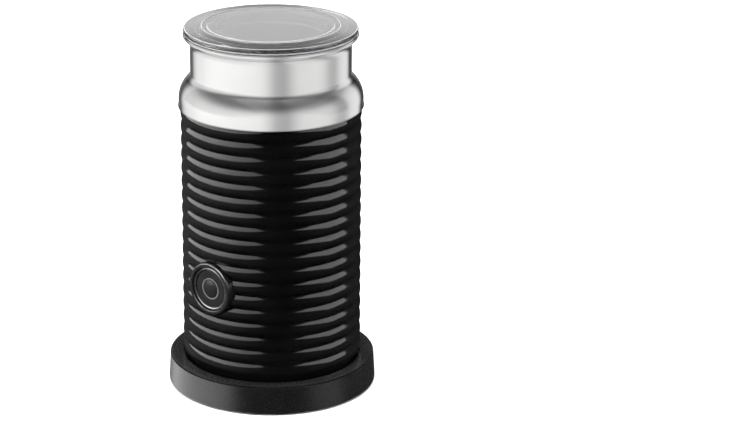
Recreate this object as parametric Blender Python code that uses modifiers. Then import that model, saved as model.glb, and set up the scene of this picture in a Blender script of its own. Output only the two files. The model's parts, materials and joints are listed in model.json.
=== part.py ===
"""A cordless milk frother: a ribbed jug with a lid, a whisk and its drive, on a round power base.

Metres, +Z up. The origin is the bottom centre of the base, and the button faces -Y.
"""

from math import asin, cos, pi, radians, sin, sqrt

import bmesh
import bpy

GAP = 0.0003  # between pieces that touch
FINE_CHAMFER = 0.0003
CHAMFER = 0.0005
ROUND = 32  # facets of the large turned pieces
MEDIUM_ROUND = 20
SMALL_ROUND = 12
SCREW_ROUND = 8
MERGE_DISTANCE = 0.00001

# Power base
FOOT_PROUD = 0.0008
FOOT_R = 0.0045
FOOT_RING_R = 0.0385
FOOT_TOP_Z = 0.0017
BASE_R = 0.0485
BASE_TOP_R = 0.04785
BASE_TOP_Z = 0.0135
BASE_WALL = 0.0022
RECESS_R = 0.0412
RECESS_Z = 0.0110
PLATE_R = 0.0459
PLATE_TOP_Z = 0.0028
POST_R = 0.0127
POST_TOP_Z = 0.0205
POST_FLANGE_R = 0.0165
POST_FLANGE_Z = 0.0050
CONTACT_R = 0.0093
CONTACT_WALL = 0.0006
CONTACT_DEPTH = 0.0050
CONTACT_SUNK = 0.0006
PIN_R = 0.0012
PIN_SUNK = 0.0004
PIN_WELL_R = 0.0030
PIN_WELL_Z = 0.0120
SCREW_R = 0.0013
SCREW_HEAD_R = 0.0026
SCREW_HEAD_H = 0.0012
SCREW_HEAD_SIDE = 0.6  # share of the head's height that stands square
SCREW_HEAD_FLAT = 0.7  # share of the head's radius that is flat
BASE_SCREW_RING_R = 0.0300
BASE_BOSS_R = 0.0034
BASE_SCREW_TOP_Z = 0.0085
BASE_SCREW_RECESS = 0.0007
GLAND_Z = 0.0070
GLAND_R = 0.0034
GLAND_BORE_R = 0.0026
GLAND_FLANGE_R = 0.0039
GLAND_SUNK = 0.0004
GLAND_FLANGE_GAP = 0.0009

# Jug shell
RIB_CREST_R = 0.04157
RIB_DEPTH = 0.0010
RIB_PITCH = 0.006626
RIB_FIRST_Z = 0.01817
RIB_COUNT = 18
RIB_STEPS = 2
SHELL_INNER_R = 0.0386
SHELL_BOTTOM_Z = 0.0113
SHELL_TOP_Z = 0.1390
SOCKET_R = 0.0160
SOCKET_BORE_R = 0.0131
SOCKET_TOP_Z = 0.0240
SOCKET_ROOF = 0.0022
COVER_TOP_Z = 0.0140
COVER_R = 0.0382
COVER_WALL = 0.0016
COVER_WALL_TOP_Z = 0.0210
COVER_SCREW_RING_R = 0.0280
COVER_BOSS_R = 0.0036
COVER_BOSS_TOP_Z = 0.0240
COVER_BOSS_OVERLAP = 0.0010
COVER_SCREW_SHORT = 0.0012

# Steel collar, from its skirt up to its lip
COLLAR_SHEET = 0.0007
COLLAR_SKIRT_R = 0.0421
COLLAR_BOTTOM_Z = 0.1342
COLLAR_TUCK = 0.0001
SHOULDER_Z = 0.1373
SHOULDER_ARC_R = 0.0125
SHOULDER_ANGLE = radians(47)
WAIST_R = 0.03674
WAIST_TOP_Z = 0.1618
LIP_FLARE_ARC_R = 0.0065
LIP_FLARE_ANGLE = radians(28)
LIP_R = 0.0390
LIP_Z = 0.1673

# Inner pot
POT_R = 0.0322
POT_SHEET = 0.0008
POT_FLOOR_Z = 0.0880
POT_CORNER_R = 0.0080
POT_MOUTH_ARC_R = 0.0048
POT_LIP_R = 0.0374
POT_LIP_Z = 0.1672
GASKET_R = 0.0399
GASKET_H = 0.0022

# Lid
LID_R = 0.03988
LID_TOP_Z = 0.1714
LID_PLATE = 0.0019
LID_ROUND_R = 0.0010
LID_FLAT_R = 0.0316
LID_EDGE_DROP = 0.0007
LID_RIM_BOTTOM_Z = 0.1676
LID_RIM_TAPER_H = 0.0018
LID_RIM_TAPER = 0.0008
LID_RIM_INNER_R = 0.0352
SKIRT_R = 0.0309
SKIRT_INNER_R = 0.0284
SKIRT_BOTTOM_Z = 0.1650
SEAL_R = 0.0329
SEAL_BOTTOM_Z = 0.1653
SEAL_H = 0.0018

# Button, on an axis square to the jug's side; depths run inwards from its face
BUTTON_Z = 0.0555
BUTTON_FACE_Y = -0.0422
HOUSING_R = 0.0123
HOUSING_PROUD = 0.0009
HOUSING_ROUND_R = 0.0009
HOUSING_DEPTH = 0.0072
HOUSING_BORE_GAP = 0.0006
BUTTON_HOLE_BACK = 0.0120
BUTTON_HOLE_LENGTH = 0.0200
BEZEL_R = 0.0099
BEZEL_WALL = 0.0009
BEZEL_DEPTH = 0.0012
CAP_R = 0.0087
CAP_FACE = 0.0004
CAP_BACK = 0.0028
DOME_R = 0.0041
DOME_RISE = 0.0008
INDICATOR_R = 0.0051
INDICATOR_WALL = 0.0007
INDICATOR_DEPTH = 0.0010
INDICATOR_PROUD = 0.0001
STEM_R = 0.0020
STEM_BACK = 0.0046
PLUNGER_R = 0.0015
PLUNGER_BACK = 0.0078
PLUNGER_WELL = 0.0012
SWITCH_SIDE = 0.0074
SWITCH_FRONT = 0.0062
SWITCH_BACK = 0.0099
BOARD_BACK = 0.0118
BOARD_WIDTH = 0.0280
BOARD_HEIGHT = 0.0360

# Drive under the pot
HEATER_R = 0.0290
HEATER_BORE_R = 0.0125
HEATER_H = 0.0018
FUSE_R = 0.0022
FUSE_LENGTH = 0.0090
FUSE_RADIUS_OUT = 0.0200
MOTOR_R = 0.0122
MOTOR_CHAMFER = 0.0010
MOTOR_BOTTOM_Z = 0.0460
MOTOR_TOP_Z = 0.0757
MOTOR_PLATE_R = 0.0380
MOTOR_PLATE_H = 0.0020
MOTOR_PLATE_BORE_R = 0.0060
SHAFT_R = 0.00115
SHAFT_BOTTOM_Z = 0.0600
CARRIER_R = 0.0095
CARRIER_Z = 0.0800
CARRIER_H = 0.0026
MAGNET_R = 0.0024
MAGNET_H = 0.0028
MAGNET_RADIUS_OUT = 0.0060

# Whisk
SPINDLE_R = 0.0020
SPINDLE_FOOT_R = 0.0050
SPINDLE_FOOT_H = 0.0010
SPINDLE_TOP_Z = 0.1000
BUSH_R = 0.0032
BUSH_ROOF = 0.0012
HUB_R = 0.0090
HUB_DISC_H = 0.0046
HUB_STEM_R = 0.0050
HUB_TOP_Z = 0.1120
HUB_TOP_CHAMFER = 0.0012
HUB_HEAD_H = 0.0035
HUB_NECK_H = 0.0060
HUB_EDGE = 0.0008
HUB_WAIST_R = 0.0041
WHISK_MAGNET_R = 0.0019
COIL_RING_R = 0.0125
COIL_R = 0.0024
COIL_WIRE_R = 0.0005
COIL_TURNS = 20
COIL_TURN_POINTS = 6
COIL_Z = 0.0930


def clear_scene():
    for obj in list(bpy.data.objects):
        bpy.data.objects.remove(obj, do_unlink=True)


def make_collection(name, shown):
    made = bpy.data.collections.new(name)
    made.hide_render = not shown
    bpy.context.scene.collection.children.link(made)
    return made


def material(name, color, roughness, metallic=0.0, transmission=0.0):
    made = bpy.data.materials.new(name)
    made.use_nodes = True
    shader = made.node_tree.nodes["Principled BSDF"]
    shader.inputs["Base Color"].default_value = (*color, 1.0)
    shader.inputs["Roughness"].default_value = roughness
    shader.inputs["Metallic"].default_value = metallic
    shader.inputs["Transmission Weight"].default_value = transmission
    return made


def add_object(name, mesh, look, parent=None, location=(0.0, 0.0, 0.0), rotation=(0.0, 0.0, 0.0)):
    """A named object of the assembly with its own material and its place."""
    obj = bpy.data.objects.new(name, mesh)
    PARTS.objects.link(obj)
    obj.data.materials.clear()
    obj.data.materials.append(look)
    obj.parent = parent
    obj.location = location
    obj.rotation_euler = rotation
    return obj


def arc(x, z, radius, start, end, steps):
    """Points of an arc round (x, z), its angles in radians from +X towards +Z."""
    angles = [start + (end - start) * i / steps for i in range(steps + 1)]
    return [(x + radius * cos(angle), z + radius * sin(angle)) for angle in angles]


def profile_mesh(name, points, closed):
    """The outline that a Screw modifier turns about Z."""
    mesh = bpy.data.meshes.new(name)
    edges = [(i, i + 1) for i in range(len(points) - 1)]
    if closed:
        edges.append((len(points) - 1, 0))
    mesh.from_pydata([(x, 0.0, z) for x, z in points], edges, [])
    return mesh


def turn(obj, facets):
    """Turns the object's outline about its Z axis."""
    screw = obj.modifiers.new("Turn", "SCREW")
    screw.steps = facets
    screw.render_steps = facets
    screw.use_merge_vertices = True
    screw.merge_threshold = MERGE_DISTANCE
    return obj


def turned(name, points, look, facets=ROUND, closed=False, **place):
    """A piece turned from an outline that runs down its outer side, closed when it is a ring."""
    return turn(add_object(name, profile_mesh(name, points, closed), look, **place), facets)


def turned_ring(name, outer_r, inner_r, top, bottom, look, facets=ROUND, **place):
    points = [(outer_r, top), (outer_r, bottom), (inner_r, bottom), (inner_r, top)]
    return turned(name, points, look, facets, closed=True, **place)


def turned_disc(name, radius, top, bottom, look, facets=SMALL_ROUND, **place):
    points = [(0.0, top), (radius, top), (radius, bottom), (0.0, bottom)]
    return turned(name, points, look, facets, **place)


def thicken(obj, thickness, outwards):
    """Makes a turned surface a sheet that grows outwards or inwards from the outline."""
    sheet = obj.modifiers.new("Sheet", "SOLIDIFY")
    sheet.thickness = thickness
    sheet.offset = 1.0 if outwards else -1.0
    sheet.use_even_offset = True
    return obj


def cylinder_mesh(name, radius, length, facets):
    """A cylinder on the Z axis that rises from the origin."""
    mesh = bpy.data.meshes.new(name)
    shape = bmesh.new()
    bmesh.ops.create_cone(
        shape, cap_ends=True, segments=facets, radius1=radius, radius2=radius, depth=length
    )
    bmesh.ops.translate(shape, vec=(0.0, 0.0, length / 2), verts=shape.verts)
    shape.to_mesh(mesh)
    shape.free()
    return mesh


def box_mesh(name, size):
    """A box centred on the origin."""
    mesh = bpy.data.meshes.new(name)
    shape = bmesh.new()
    bmesh.ops.create_cube(shape, size=1.0)
    bmesh.ops.scale(shape, vec=size, verts=shape.verts)
    shape.to_mesh(mesh)
    shape.free()
    return mesh


def cutter(name, radius, length, location, rotation=(0.0, 0.0, 0.0), facets=SMALL_ROUND):
    """A hidden cylinder for a Boolean, rising from its location along its own Z axis."""
    obj = bpy.data.objects.new(name, cylinder_mesh(name, radius, length, facets))
    CUTTERS.objects.link(obj)
    obj.location = location
    obj.rotation_euler = rotation
    obj.hide_render = True
    obj.display_type = "WIRE"
    return obj


def combine(obj, tools, operation):
    """Cuts hidden tools from an object, or joins them to it."""
    for tool in tools:
        change = obj.modifiers.new(tool.name, "BOOLEAN")
        change.operation = operation
        change.solver = "EXACT"
        change.object = tool


def around(count, radius, z, start=0.0):
    """Evenly spaced places on a circle about the Z axis."""
    angles = [start + 2 * pi * i / count for i in range(count)]
    return [(radius * cos(angle), radius * sin(angle), z) for angle in angles]


def rib_points():
    """The scalloped side, from the collar down: round crests that meet in sharp valleys."""
    half = RIB_PITCH / 2
    scallop_r = (half**2 + RIB_DEPTH**2) / (2 * RIB_DEPTH)
    top = RIB_FIRST_Z + RIB_PITCH * (RIB_COUNT - 0.5)
    points = []
    for step in range(RIB_COUNT * RIB_STEPS + 1):
        rise = RIB_PITCH * (step % RIB_STEPS) / RIB_STEPS - half
        bulge = sqrt(scallop_r**2 - rise**2) - scallop_r
        points.append((RIB_CREST_R + bulge, top - RIB_PITCH * step / RIB_STEPS))
    return points


def screw_points(length):
    """A pan head screw that points up, its head's underside at z = 0."""
    return [
        (0.0, length),
        (SCREW_R, length - SCREW_R / 2),
        (SCREW_R, 0.0),
        (SCREW_HEAD_R, 0.0),
        (SCREW_HEAD_R, -SCREW_HEAD_H * SCREW_HEAD_SIDE),
        (SCREW_HEAD_R * SCREW_HEAD_FLAT, -SCREW_HEAD_H),
        (0.0, -SCREW_HEAD_H),
    ]


def build_base():
    """The power base: a turned shell with a shallow seat for the jug, a plate, feet and the connector."""
    seat_under = RECESS_Z - BASE_WALL
    screw_seat_z = PLATE_TOP_Z - BASE_SCREW_RECESS
    outline = [
        (BASE_TOP_R - CHAMFER, BASE_TOP_Z),
        (BASE_TOP_R, BASE_TOP_Z - CHAMFER),
        (BASE_R, FOOT_PROUD),
        (BASE_R - BASE_WALL, FOOT_PROUD),
        (BASE_TOP_R - BASE_WALL, BASE_TOP_Z - BASE_WALL),
        (RECESS_R + BASE_WALL, BASE_TOP_Z - BASE_WALL),
        (RECESS_R + BASE_WALL, seat_under),
        (POST_R + GAP, seat_under),
        (POST_R + GAP, RECESS_Z),
        (RECESS_R, RECESS_Z),
        (RECESS_R, BASE_TOP_Z - FINE_CHAMFER),
        (RECESS_R + FINE_CHAMFER, BASE_TOP_Z),
    ]
    shell = turned("base_shell", outline, BASE_BLACK, closed=True)
    bosses = []
    pilots = []
    screw_places = around(3, BASE_SCREW_RING_R, screw_seat_z, pi / 2)
    for number, (x, y, _) in enumerate(screw_places, 1):
        boss_length = seat_under - PLATE_TOP_Z - GAP + BASE_WALL / 2
        bosses.append(cutter(f"base_boss_{number}", BASE_BOSS_R, boss_length, (x, y, PLATE_TOP_Z + GAP)))
        pilot_place = (x, y, PLATE_TOP_Z - GAP)
        pilot_length = BASE_SCREW_TOP_Z - PLATE_TOP_Z + 2 * GAP
        pilots.append(cutter(f"base_pilot_{number}", SCREW_R + GAP, pilot_length, pilot_place))
    gland_hole = cutter(
        "gland_hole", GLAND_R + GAP, BASE_WALL * 3, (0.0, BASE_R - BASE_WALL * 2, GLAND_Z),
        (-pi / 2, 0.0, 0.0),
    )
    combine(shell, bosses, "UNION")
    combine(shell, [*pilots, gland_hole], "DIFFERENCE")

    plate = turned_disc("base_plate", PLATE_R, PLATE_TOP_Z, FOOT_PROUD, BASE_BLACK, ROUND)
    pockets = []
    foot_mesh = cylinder_mesh("foot", FOOT_R, FOOT_TOP_Z, SMALL_ROUND)
    for number, (x, y, _) in enumerate(around(4, FOOT_RING_R, 0.0, pi / 4), 1):
        add_object(f"foot_{number}", foot_mesh, RUBBER, location=(x, y, 0.0))
        pockets.append(cutter(f"foot_pocket_{number}", FOOT_R + GAP, FOOT_TOP_Z + GAP, (x, y, 0.0)))
    length = BASE_SCREW_TOP_Z - screw_seat_z - GAP
    screw_mesh = profile_mesh("base_screw", screw_points(length), False)
    for number, (x, y, z) in enumerate(screw_places, 1):
        screw = add_object(f"base_screw_{number}", screw_mesh, ZINC, location=(x, y, z))
        turn(screw, SCREW_ROUND)
        pockets.append(cutter(f"head_pocket_{number}", SCREW_HEAD_R + GAP, z + GAP, (x, y, 0.0)))
        pockets.append(cutter(f"shank_hole_{number}", SCREW_R + GAP, PLATE_TOP_Z * 2, (x, y, 0.0)))
    combine(plate, pockets, "DIFFERENCE")

    flange_top = seat_under - GAP
    slot_outer = CONTACT_R + CONTACT_WALL / 2 + GAP
    slot_inner = CONTACT_R - CONTACT_WALL / 2 - GAP
    slot_z = POST_TOP_Z - CONTACT_DEPTH
    post = [
        (slot_outer, POST_TOP_Z),
        (POST_R - CHAMFER, POST_TOP_Z),
        (POST_R, POST_TOP_Z - CHAMFER),
        (POST_R, flange_top),
        (POST_FLANGE_R, flange_top),
        (POST_FLANGE_R, POST_FLANGE_Z),
        (0.0, POST_FLANGE_Z),
    ]
    well = [
        (0.0, PIN_WELL_Z),
        (PIN_WELL_R, PIN_WELL_Z),
        (PIN_WELL_R, POST_TOP_Z),
        (slot_inner, POST_TOP_Z),
        (slot_inner, slot_z),
        (slot_outer, slot_z),
    ]
    turned("connector_post", well + post, CONNECTOR_BLACK, ROUND)
    turned_ring(
        "contact_ring", CONTACT_R + CONTACT_WALL / 2, CONTACT_R - CONTACT_WALL / 2,
        POST_TOP_Z - CONTACT_SUNK, slot_z + GAP, CONTACT_METAL,
    )
    pin_top = POST_TOP_Z - PIN_SUNK
    pin = [(0.0, pin_top), *arc(0.0, pin_top - PIN_R, PIN_R, pi / 4, 0.0, 2)]
    pin += [(PIN_R, PIN_WELL_Z + GAP), (0.0, PIN_WELL_Z + GAP)]
    turned("contact_pin", pin, CONTACT_METAL, SMALL_ROUND)

    gland_inner_y = RECESS_R + BASE_WALL + 2 * GAP
    inside = BASE_R - BASE_WALL - GLAND_FLANGE_GAP - gland_inner_y
    outside = BASE_R - GLAND_SUNK - gland_inner_y
    gland = [
        (GLAND_R, outside),
        (GLAND_R, inside),
        (GLAND_FLANGE_R, inside),
        (GLAND_FLANGE_R, 0.0),
        (GLAND_BORE_R, 0.0),
        (GLAND_BORE_R, outside),
    ]
    turned(
        "cord_gland", gland, RUBBER, SMALL_ROUND, closed=True,
        location=(0.0, gland_inner_y, GLAND_Z), rotation=(-pi / 2, 0.0, 0.0),
    )


def build_shell(button_axis):
    """The ribbed plastic jug body, its bottom cover and the socket that drops over the base's post."""
    side = rib_points()
    valley_r = side[0][0]
    outline = [
        (valley_r, SHELL_TOP_Z),
        *side,
        (valley_r, SHELL_BOTTOM_Z + CHAMFER),
        (valley_r - CHAMFER, SHELL_BOTTOM_Z),
        (SHELL_INNER_R, SHELL_BOTTOM_Z),
        (SHELL_INNER_R, SHELL_TOP_Z),
    ]
    shell = turned("outer_shell", outline, SHELL_BLACK, closed=True)
    hole_place = (0.0, 0.0, -BUTTON_HOLE_BACK)
    button_hole = cutter(
        "button_hole", HOUSING_R + GAP, BUTTON_HOLE_LENGTH, hole_place, facets=MEDIUM_ROUND
    )
    button_hole.parent = button_axis
    combine(shell, [button_hole], "DIFFERENCE")

    cover_outline = [
        (COVER_R, COVER_WALL_TOP_Z),
        (COVER_R, SHELL_BOTTOM_Z + GAP),
        (SOCKET_R + GAP, SHELL_BOTTOM_Z + GAP),
        (SOCKET_R + GAP, COVER_TOP_Z),
        (COVER_R - COVER_WALL, COVER_TOP_Z),
        (COVER_R - COVER_WALL, COVER_WALL_TOP_Z),
    ]
    cover = turned("bottom_cover", cover_outline, COVER_BLACK, closed=True)
    screw_z = SHELL_BOTTOM_Z + GAP + SCREW_HEAD_H
    screw_length = COVER_BOSS_TOP_Z - COVER_SCREW_SHORT - screw_z
    screw_mesh = profile_mesh("cover_screw", screw_points(screw_length), False)
    bosses = []
    holes = []
    for number, (x, y, z) in enumerate(around(3, COVER_SCREW_RING_R, screw_z, -pi / 2), 1):
        turn(add_object(f"cover_screw_{number}", screw_mesh, ZINC, location=(x, y, z)), SCREW_ROUND)
        boss_z = COVER_TOP_Z - COVER_BOSS_OVERLAP
        boss_length = COVER_BOSS_TOP_Z - boss_z
        bosses.append(cutter(f"cover_boss_{number}", COVER_BOSS_R, boss_length, (x, y, boss_z)))
        head_hole_length = SCREW_HEAD_H + 2 * GAP
        head_place = (x, y, z + GAP - head_hole_length)
        holes.append(cutter(f"cover_head_{number}", SCREW_HEAD_R + GAP, head_hole_length, head_place))
        holes.append(cutter(f"cover_pilot_{number}", SCREW_R + GAP, screw_length + GAP, (x, y, z)))
    combine(cover, bosses, "UNION")
    combine(cover, holes, "DIFFERENCE")

    roof_z = SOCKET_TOP_Z - SOCKET_ROOF
    socket = [
        (0.0, SOCKET_TOP_Z),
        (SOCKET_R - CHAMFER, SOCKET_TOP_Z),
        (SOCKET_R, SOCKET_TOP_Z - CHAMFER),
        (SOCKET_R, SHELL_BOTTOM_Z + GAP),
        (SOCKET_BORE_R + CHAMFER, SHELL_BOTTOM_Z + GAP),
        (SOCKET_BORE_R, SHELL_BOTTOM_Z + GAP + CHAMFER),
        (SOCKET_BORE_R, roof_z),
        (0.0, roof_z),
    ]
    turned("jug_socket", socket, CONNECTOR_BLACK)


def build_collar_and_pot():
    """The steel collar outside, the pot inside it, and the ring that keeps them apart."""
    turn_in = SHOULDER_ARC_R * (1 - cos(SHOULDER_ANGLE))
    fillet_r = (COLLAR_SKIRT_R - turn_in - WAIST_R) / (1 - cos(SHOULDER_ANGLE))
    fillet_z = SHOULDER_Z + (SHOULDER_ARC_R + fillet_r) * sin(SHOULDER_ANGLE)
    flare_x = WAIST_R + LIP_FLARE_ARC_R
    collar = [
        (LIP_R, LIP_Z),
        (LIP_R, LIP_Z - CHAMFER),
        *arc(flare_x, WAIST_TOP_Z, LIP_FLARE_ARC_R, pi - LIP_FLARE_ANGLE, pi, 2),
        *arc(WAIST_R + fillet_r, fillet_z, fillet_r, pi, pi + SHOULDER_ANGLE, 3),
        *arc(COLLAR_SKIRT_R - SHOULDER_ARC_R, SHOULDER_Z, SHOULDER_ARC_R, SHOULDER_ANGLE, 0.0, 4)[1:],
        (COLLAR_SKIRT_R, COLLAR_BOTTOM_Z + CHAMFER),
        (COLLAR_SKIRT_R - COLLAR_TUCK, COLLAR_BOTTOM_Z),
    ]
    thicken(turned("steel_collar", collar, STEEL), COLLAR_SHEET, outwards=False)

    mouth_x = POT_R + POT_MOUTH_ARC_R
    mouth_z = POT_LIP_Z - POT_MOUTH_ARC_R
    corner_x = POT_R - POT_CORNER_R
    corner_z = POT_FLOOR_Z + POT_CORNER_R
    pot = [
        (POT_LIP_R, POT_LIP_Z),
        *arc(mouth_x, mouth_z, POT_MOUTH_ARC_R, pi / 2, pi, 4),
        *arc(corner_x, corner_z, POT_CORNER_R, 0.0, -pi / 2, 3),
        (0.0, POT_FLOOR_Z),
    ]
    thicken(turned("inner_pot", pot, POT_COATING), POT_SHEET, outwards=True)

    gasket_top = SHELL_TOP_Z + GAP + GASKET_H
    turned_ring(
        "pot_gasket", GASKET_R, POT_R + POT_SHEET + GAP, gasket_top, SHELL_TOP_Z + GAP, RUBBER
    )


def build_lid():
    """The clear disc with a thick, sloping rim and a skirt, and the seal round the skirt."""
    under = LID_TOP_Z - LID_PLATE
    edge_z = LID_TOP_Z - LID_EDGE_DROP
    lid = [
        (0.0, LID_TOP_Z),
        (LID_FLAT_R, LID_TOP_Z),
        *arc(LID_R - LID_ROUND_R, edge_z - LID_ROUND_R, LID_ROUND_R, pi / 2, 0.0, 3),
        (LID_R, LID_RIM_BOTTOM_Z + LID_RIM_TAPER_H),
        (LID_R - LID_RIM_TAPER / 2, LID_RIM_BOTTOM_Z + CHAMFER),
        (LID_R - LID_RIM_TAPER, LID_RIM_BOTTOM_Z),
        (LID_RIM_INNER_R, LID_RIM_BOTTOM_Z),
        (LID_RIM_INNER_R - CHAMFER, under),
        (SKIRT_R, under),
        (SKIRT_R, SKIRT_BOTTOM_Z),
        (SKIRT_INNER_R, SKIRT_BOTTOM_Z),
        (SKIRT_INNER_R, under),
        (0.0, under),
    ]
    turned("lid_disc", lid, CLEAR)
    seal_top = SEAL_BOTTOM_Z + SEAL_H
    seal = [
        (SKIRT_R + GAP, seal_top),
        (SEAL_R - CHAMFER, seal_top),
        (SEAL_R, seal_top - CHAMFER),
        (SEAL_R, SEAL_BOTTOM_Z + CHAMFER),
        (SEAL_R - CHAMFER, SEAL_BOTTOM_Z),
        (SKIRT_R + GAP, SEAL_BOTTOM_Z),
    ]
    turned("lid_seal", seal, SEAL_GREY, closed=True)


def build_button(axis):
    """The push button in its round housing, with the switch and board behind it."""
    round_x = HOUSING_R - HOUSING_ROUND_R
    round_z = HOUSING_PROUD - HOUSING_ROUND_R
    bore_r = CAP_R + HOUSING_BORE_GAP
    housing = [
        *arc(round_x, round_z, HOUSING_ROUND_R, pi / 2, 0.0, 3),
        (HOUSING_R, -HOUSING_DEPTH),
        (bore_r, -HOUSING_DEPTH),
        (bore_r, -BEZEL_DEPTH - GAP),
        (BEZEL_R + GAP, -BEZEL_DEPTH - GAP),
        (BEZEL_R + GAP, 0.0),
        (BEZEL_R + GAP + FINE_CHAMFER, HOUSING_PROUD),
    ]
    turned("button_housing", housing, HOUSING_BLACK, MEDIUM_ROUND, closed=True, parent=axis)
    bezel = [
        (BEZEL_R - FINE_CHAMFER, 0.0),
        (BEZEL_R, -FINE_CHAMFER),
        (BEZEL_R, -BEZEL_DEPTH),
        (BEZEL_R - BEZEL_WALL, -BEZEL_DEPTH),
        (BEZEL_R - BEZEL_WALL, -FINE_CHAMFER),
        (BEZEL_R - BEZEL_WALL + FINE_CHAMFER, 0.0),
    ]
    turned("bezel_ring", bezel, STEEL, MEDIUM_ROUND, closed=True, parent=axis)

    ring_outer = INDICATOR_R + GAP
    ring_inner = INDICATOR_R - INDICATOR_WALL - GAP
    groove = CAP_FACE + INDICATOR_DEPTH + GAP
    dome_ball_r = (DOME_R**2 + DOME_RISE**2) / (2 * DOME_RISE)
    dome_z = -CAP_FACE + DOME_RISE - dome_ball_r
    dome_edge = pi / 2 - asin(DOME_R / dome_ball_r)
    cap = [
        *arc(0.0, dome_z, dome_ball_r, pi / 2, dome_edge, 3),
        (ring_inner, -CAP_FACE),
        (ring_inner, -groove),
        (ring_outer, -groove),
        (ring_outer, -CAP_FACE),
        (CAP_R - FINE_CHAMFER, -CAP_FACE),
        (CAP_R, -CAP_FACE - FINE_CHAMFER),
        (CAP_R, -CAP_BACK),
        (STEM_R, -CAP_BACK),
        (STEM_R, -STEM_BACK),
        (0.0, -STEM_BACK),
    ]
    turned("button_cap", cap, BUTTON_BLACK, MEDIUM_ROUND, parent=axis)
    turned_ring(
        "indicator_ring", INDICATOR_R, INDICATOR_R - INDICATOR_WALL, -CAP_FACE + INDICATOR_PROUD,
        -CAP_FACE - INDICATOR_DEPTH, LIGHT_GUIDE, MEDIUM_ROUND, parent=axis,
    )
    turned_disc("switch_plunger", PLUNGER_R, -STEM_BACK - GAP, -PLUNGER_BACK, NYLON, parent=axis)

    switch_depth = SWITCH_BACK - SWITCH_FRONT
    switch = add_object(
        "switch_body", box_mesh("switch_body", (SWITCH_SIDE, SWITCH_SIDE, switch_depth)), CONNECTOR_BLACK,
        parent=axis, location=(0.0, 0.0, -(SWITCH_FRONT + SWITCH_BACK) / 2),
    )
    well_back = PLUNGER_BACK + PLUNGER_WELL
    well = cutter("plunger_well", PLUNGER_R + GAP, well_back - SWITCH_FRONT + GAP, (0.0, 0.0, -well_back))
    well.parent = axis
    combine(switch, [well], "DIFFERENCE")
    board_depth = BOARD_BACK - SWITCH_BACK - GAP
    add_object(
        "control_board", box_mesh("control_board", (BOARD_WIDTH, BOARD_HEIGHT, board_depth)), BOARD_GREEN,
        parent=axis, location=(0.0, 0.0, -BOARD_BACK + board_depth / 2),
    )


def build_drive():
    """The motor, its rotor with two magnets, and the heater, all under the pot's floor."""
    pot_under = POT_FLOOR_Z - POT_SHEET
    heater_top = pot_under - GAP
    turned_ring("heater_ring", HEATER_R, HEATER_BORE_R, heater_top, heater_top - HEATER_H, CERAMIC)
    fuse_z = heater_top - HEATER_H - GAP - FUSE_R
    add_object(
        "thermal_fuse", cylinder_mesh("thermal_fuse", FUSE_R, FUSE_LENGTH, SMALL_ROUND), ZINC,
        location=(FUSE_RADIUS_OUT, FUSE_LENGTH / 2, fuse_z), rotation=(pi / 2, 0.0, 0.0),
    )
    bore = SHAFT_R + GAP
    bore_z = SHAFT_BOTTOM_Z - GAP
    can = [
        (0.0, bore_z),
        (bore, bore_z),
        (bore, MOTOR_TOP_Z),
        (MOTOR_R - MOTOR_CHAMFER, MOTOR_TOP_Z),
        (MOTOR_R, MOTOR_TOP_Z - MOTOR_CHAMFER),
        (MOTOR_R, MOTOR_BOTTOM_Z + MOTOR_CHAMFER),
        (MOTOR_R - MOTOR_CHAMFER, MOTOR_BOTTOM_Z),
        (0.0, MOTOR_BOTTOM_Z),
    ]
    turned("motor_can", can, ZINC, MEDIUM_ROUND)
    plate_bottom = MOTOR_TOP_Z + GAP
    turned_ring(
        "motor_plate", MOTOR_PLATE_R, MOTOR_PLATE_BORE_R, plate_bottom + MOTOR_PLATE_H, plate_bottom, NYLON
    )
    carrier_top = CARRIER_Z + CARRIER_H
    turned_disc("motor_shaft", SHAFT_R, carrier_top, SHAFT_BOTTOM_Z, STEEL)
    turned_ring("magnet_carrier", CARRIER_R, SHAFT_R + GAP, carrier_top, CARRIER_Z, NYLON, MEDIUM_ROUND)
    magnet_mesh = cylinder_mesh("magnet", MAGNET_R, MAGNET_H, SMALL_ROUND)
    for number, (x, y, z) in enumerate(around(2, MAGNET_RADIUS_OUT, carrier_top + GAP), 1):
        add_object(f"drive_magnet_{number}", magnet_mesh, MAGNET_METAL, location=(x, y, z))


def coil_points():
    """The wire's middle line: a helix wrapped round a ring."""
    points = []
    for step in range(COIL_TURNS * COIL_TURN_POINTS):
        around_ring = 2 * pi * step / (COIL_TURNS * COIL_TURN_POINTS)
        around_wire = 2 * pi * step / COIL_TURN_POINTS
        out = COIL_RING_R + COIL_R * cos(around_wire)
        points.append((out * cos(around_ring), out * sin(around_ring), COIL_Z + COIL_R * sin(around_wire)))
    return points


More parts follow.
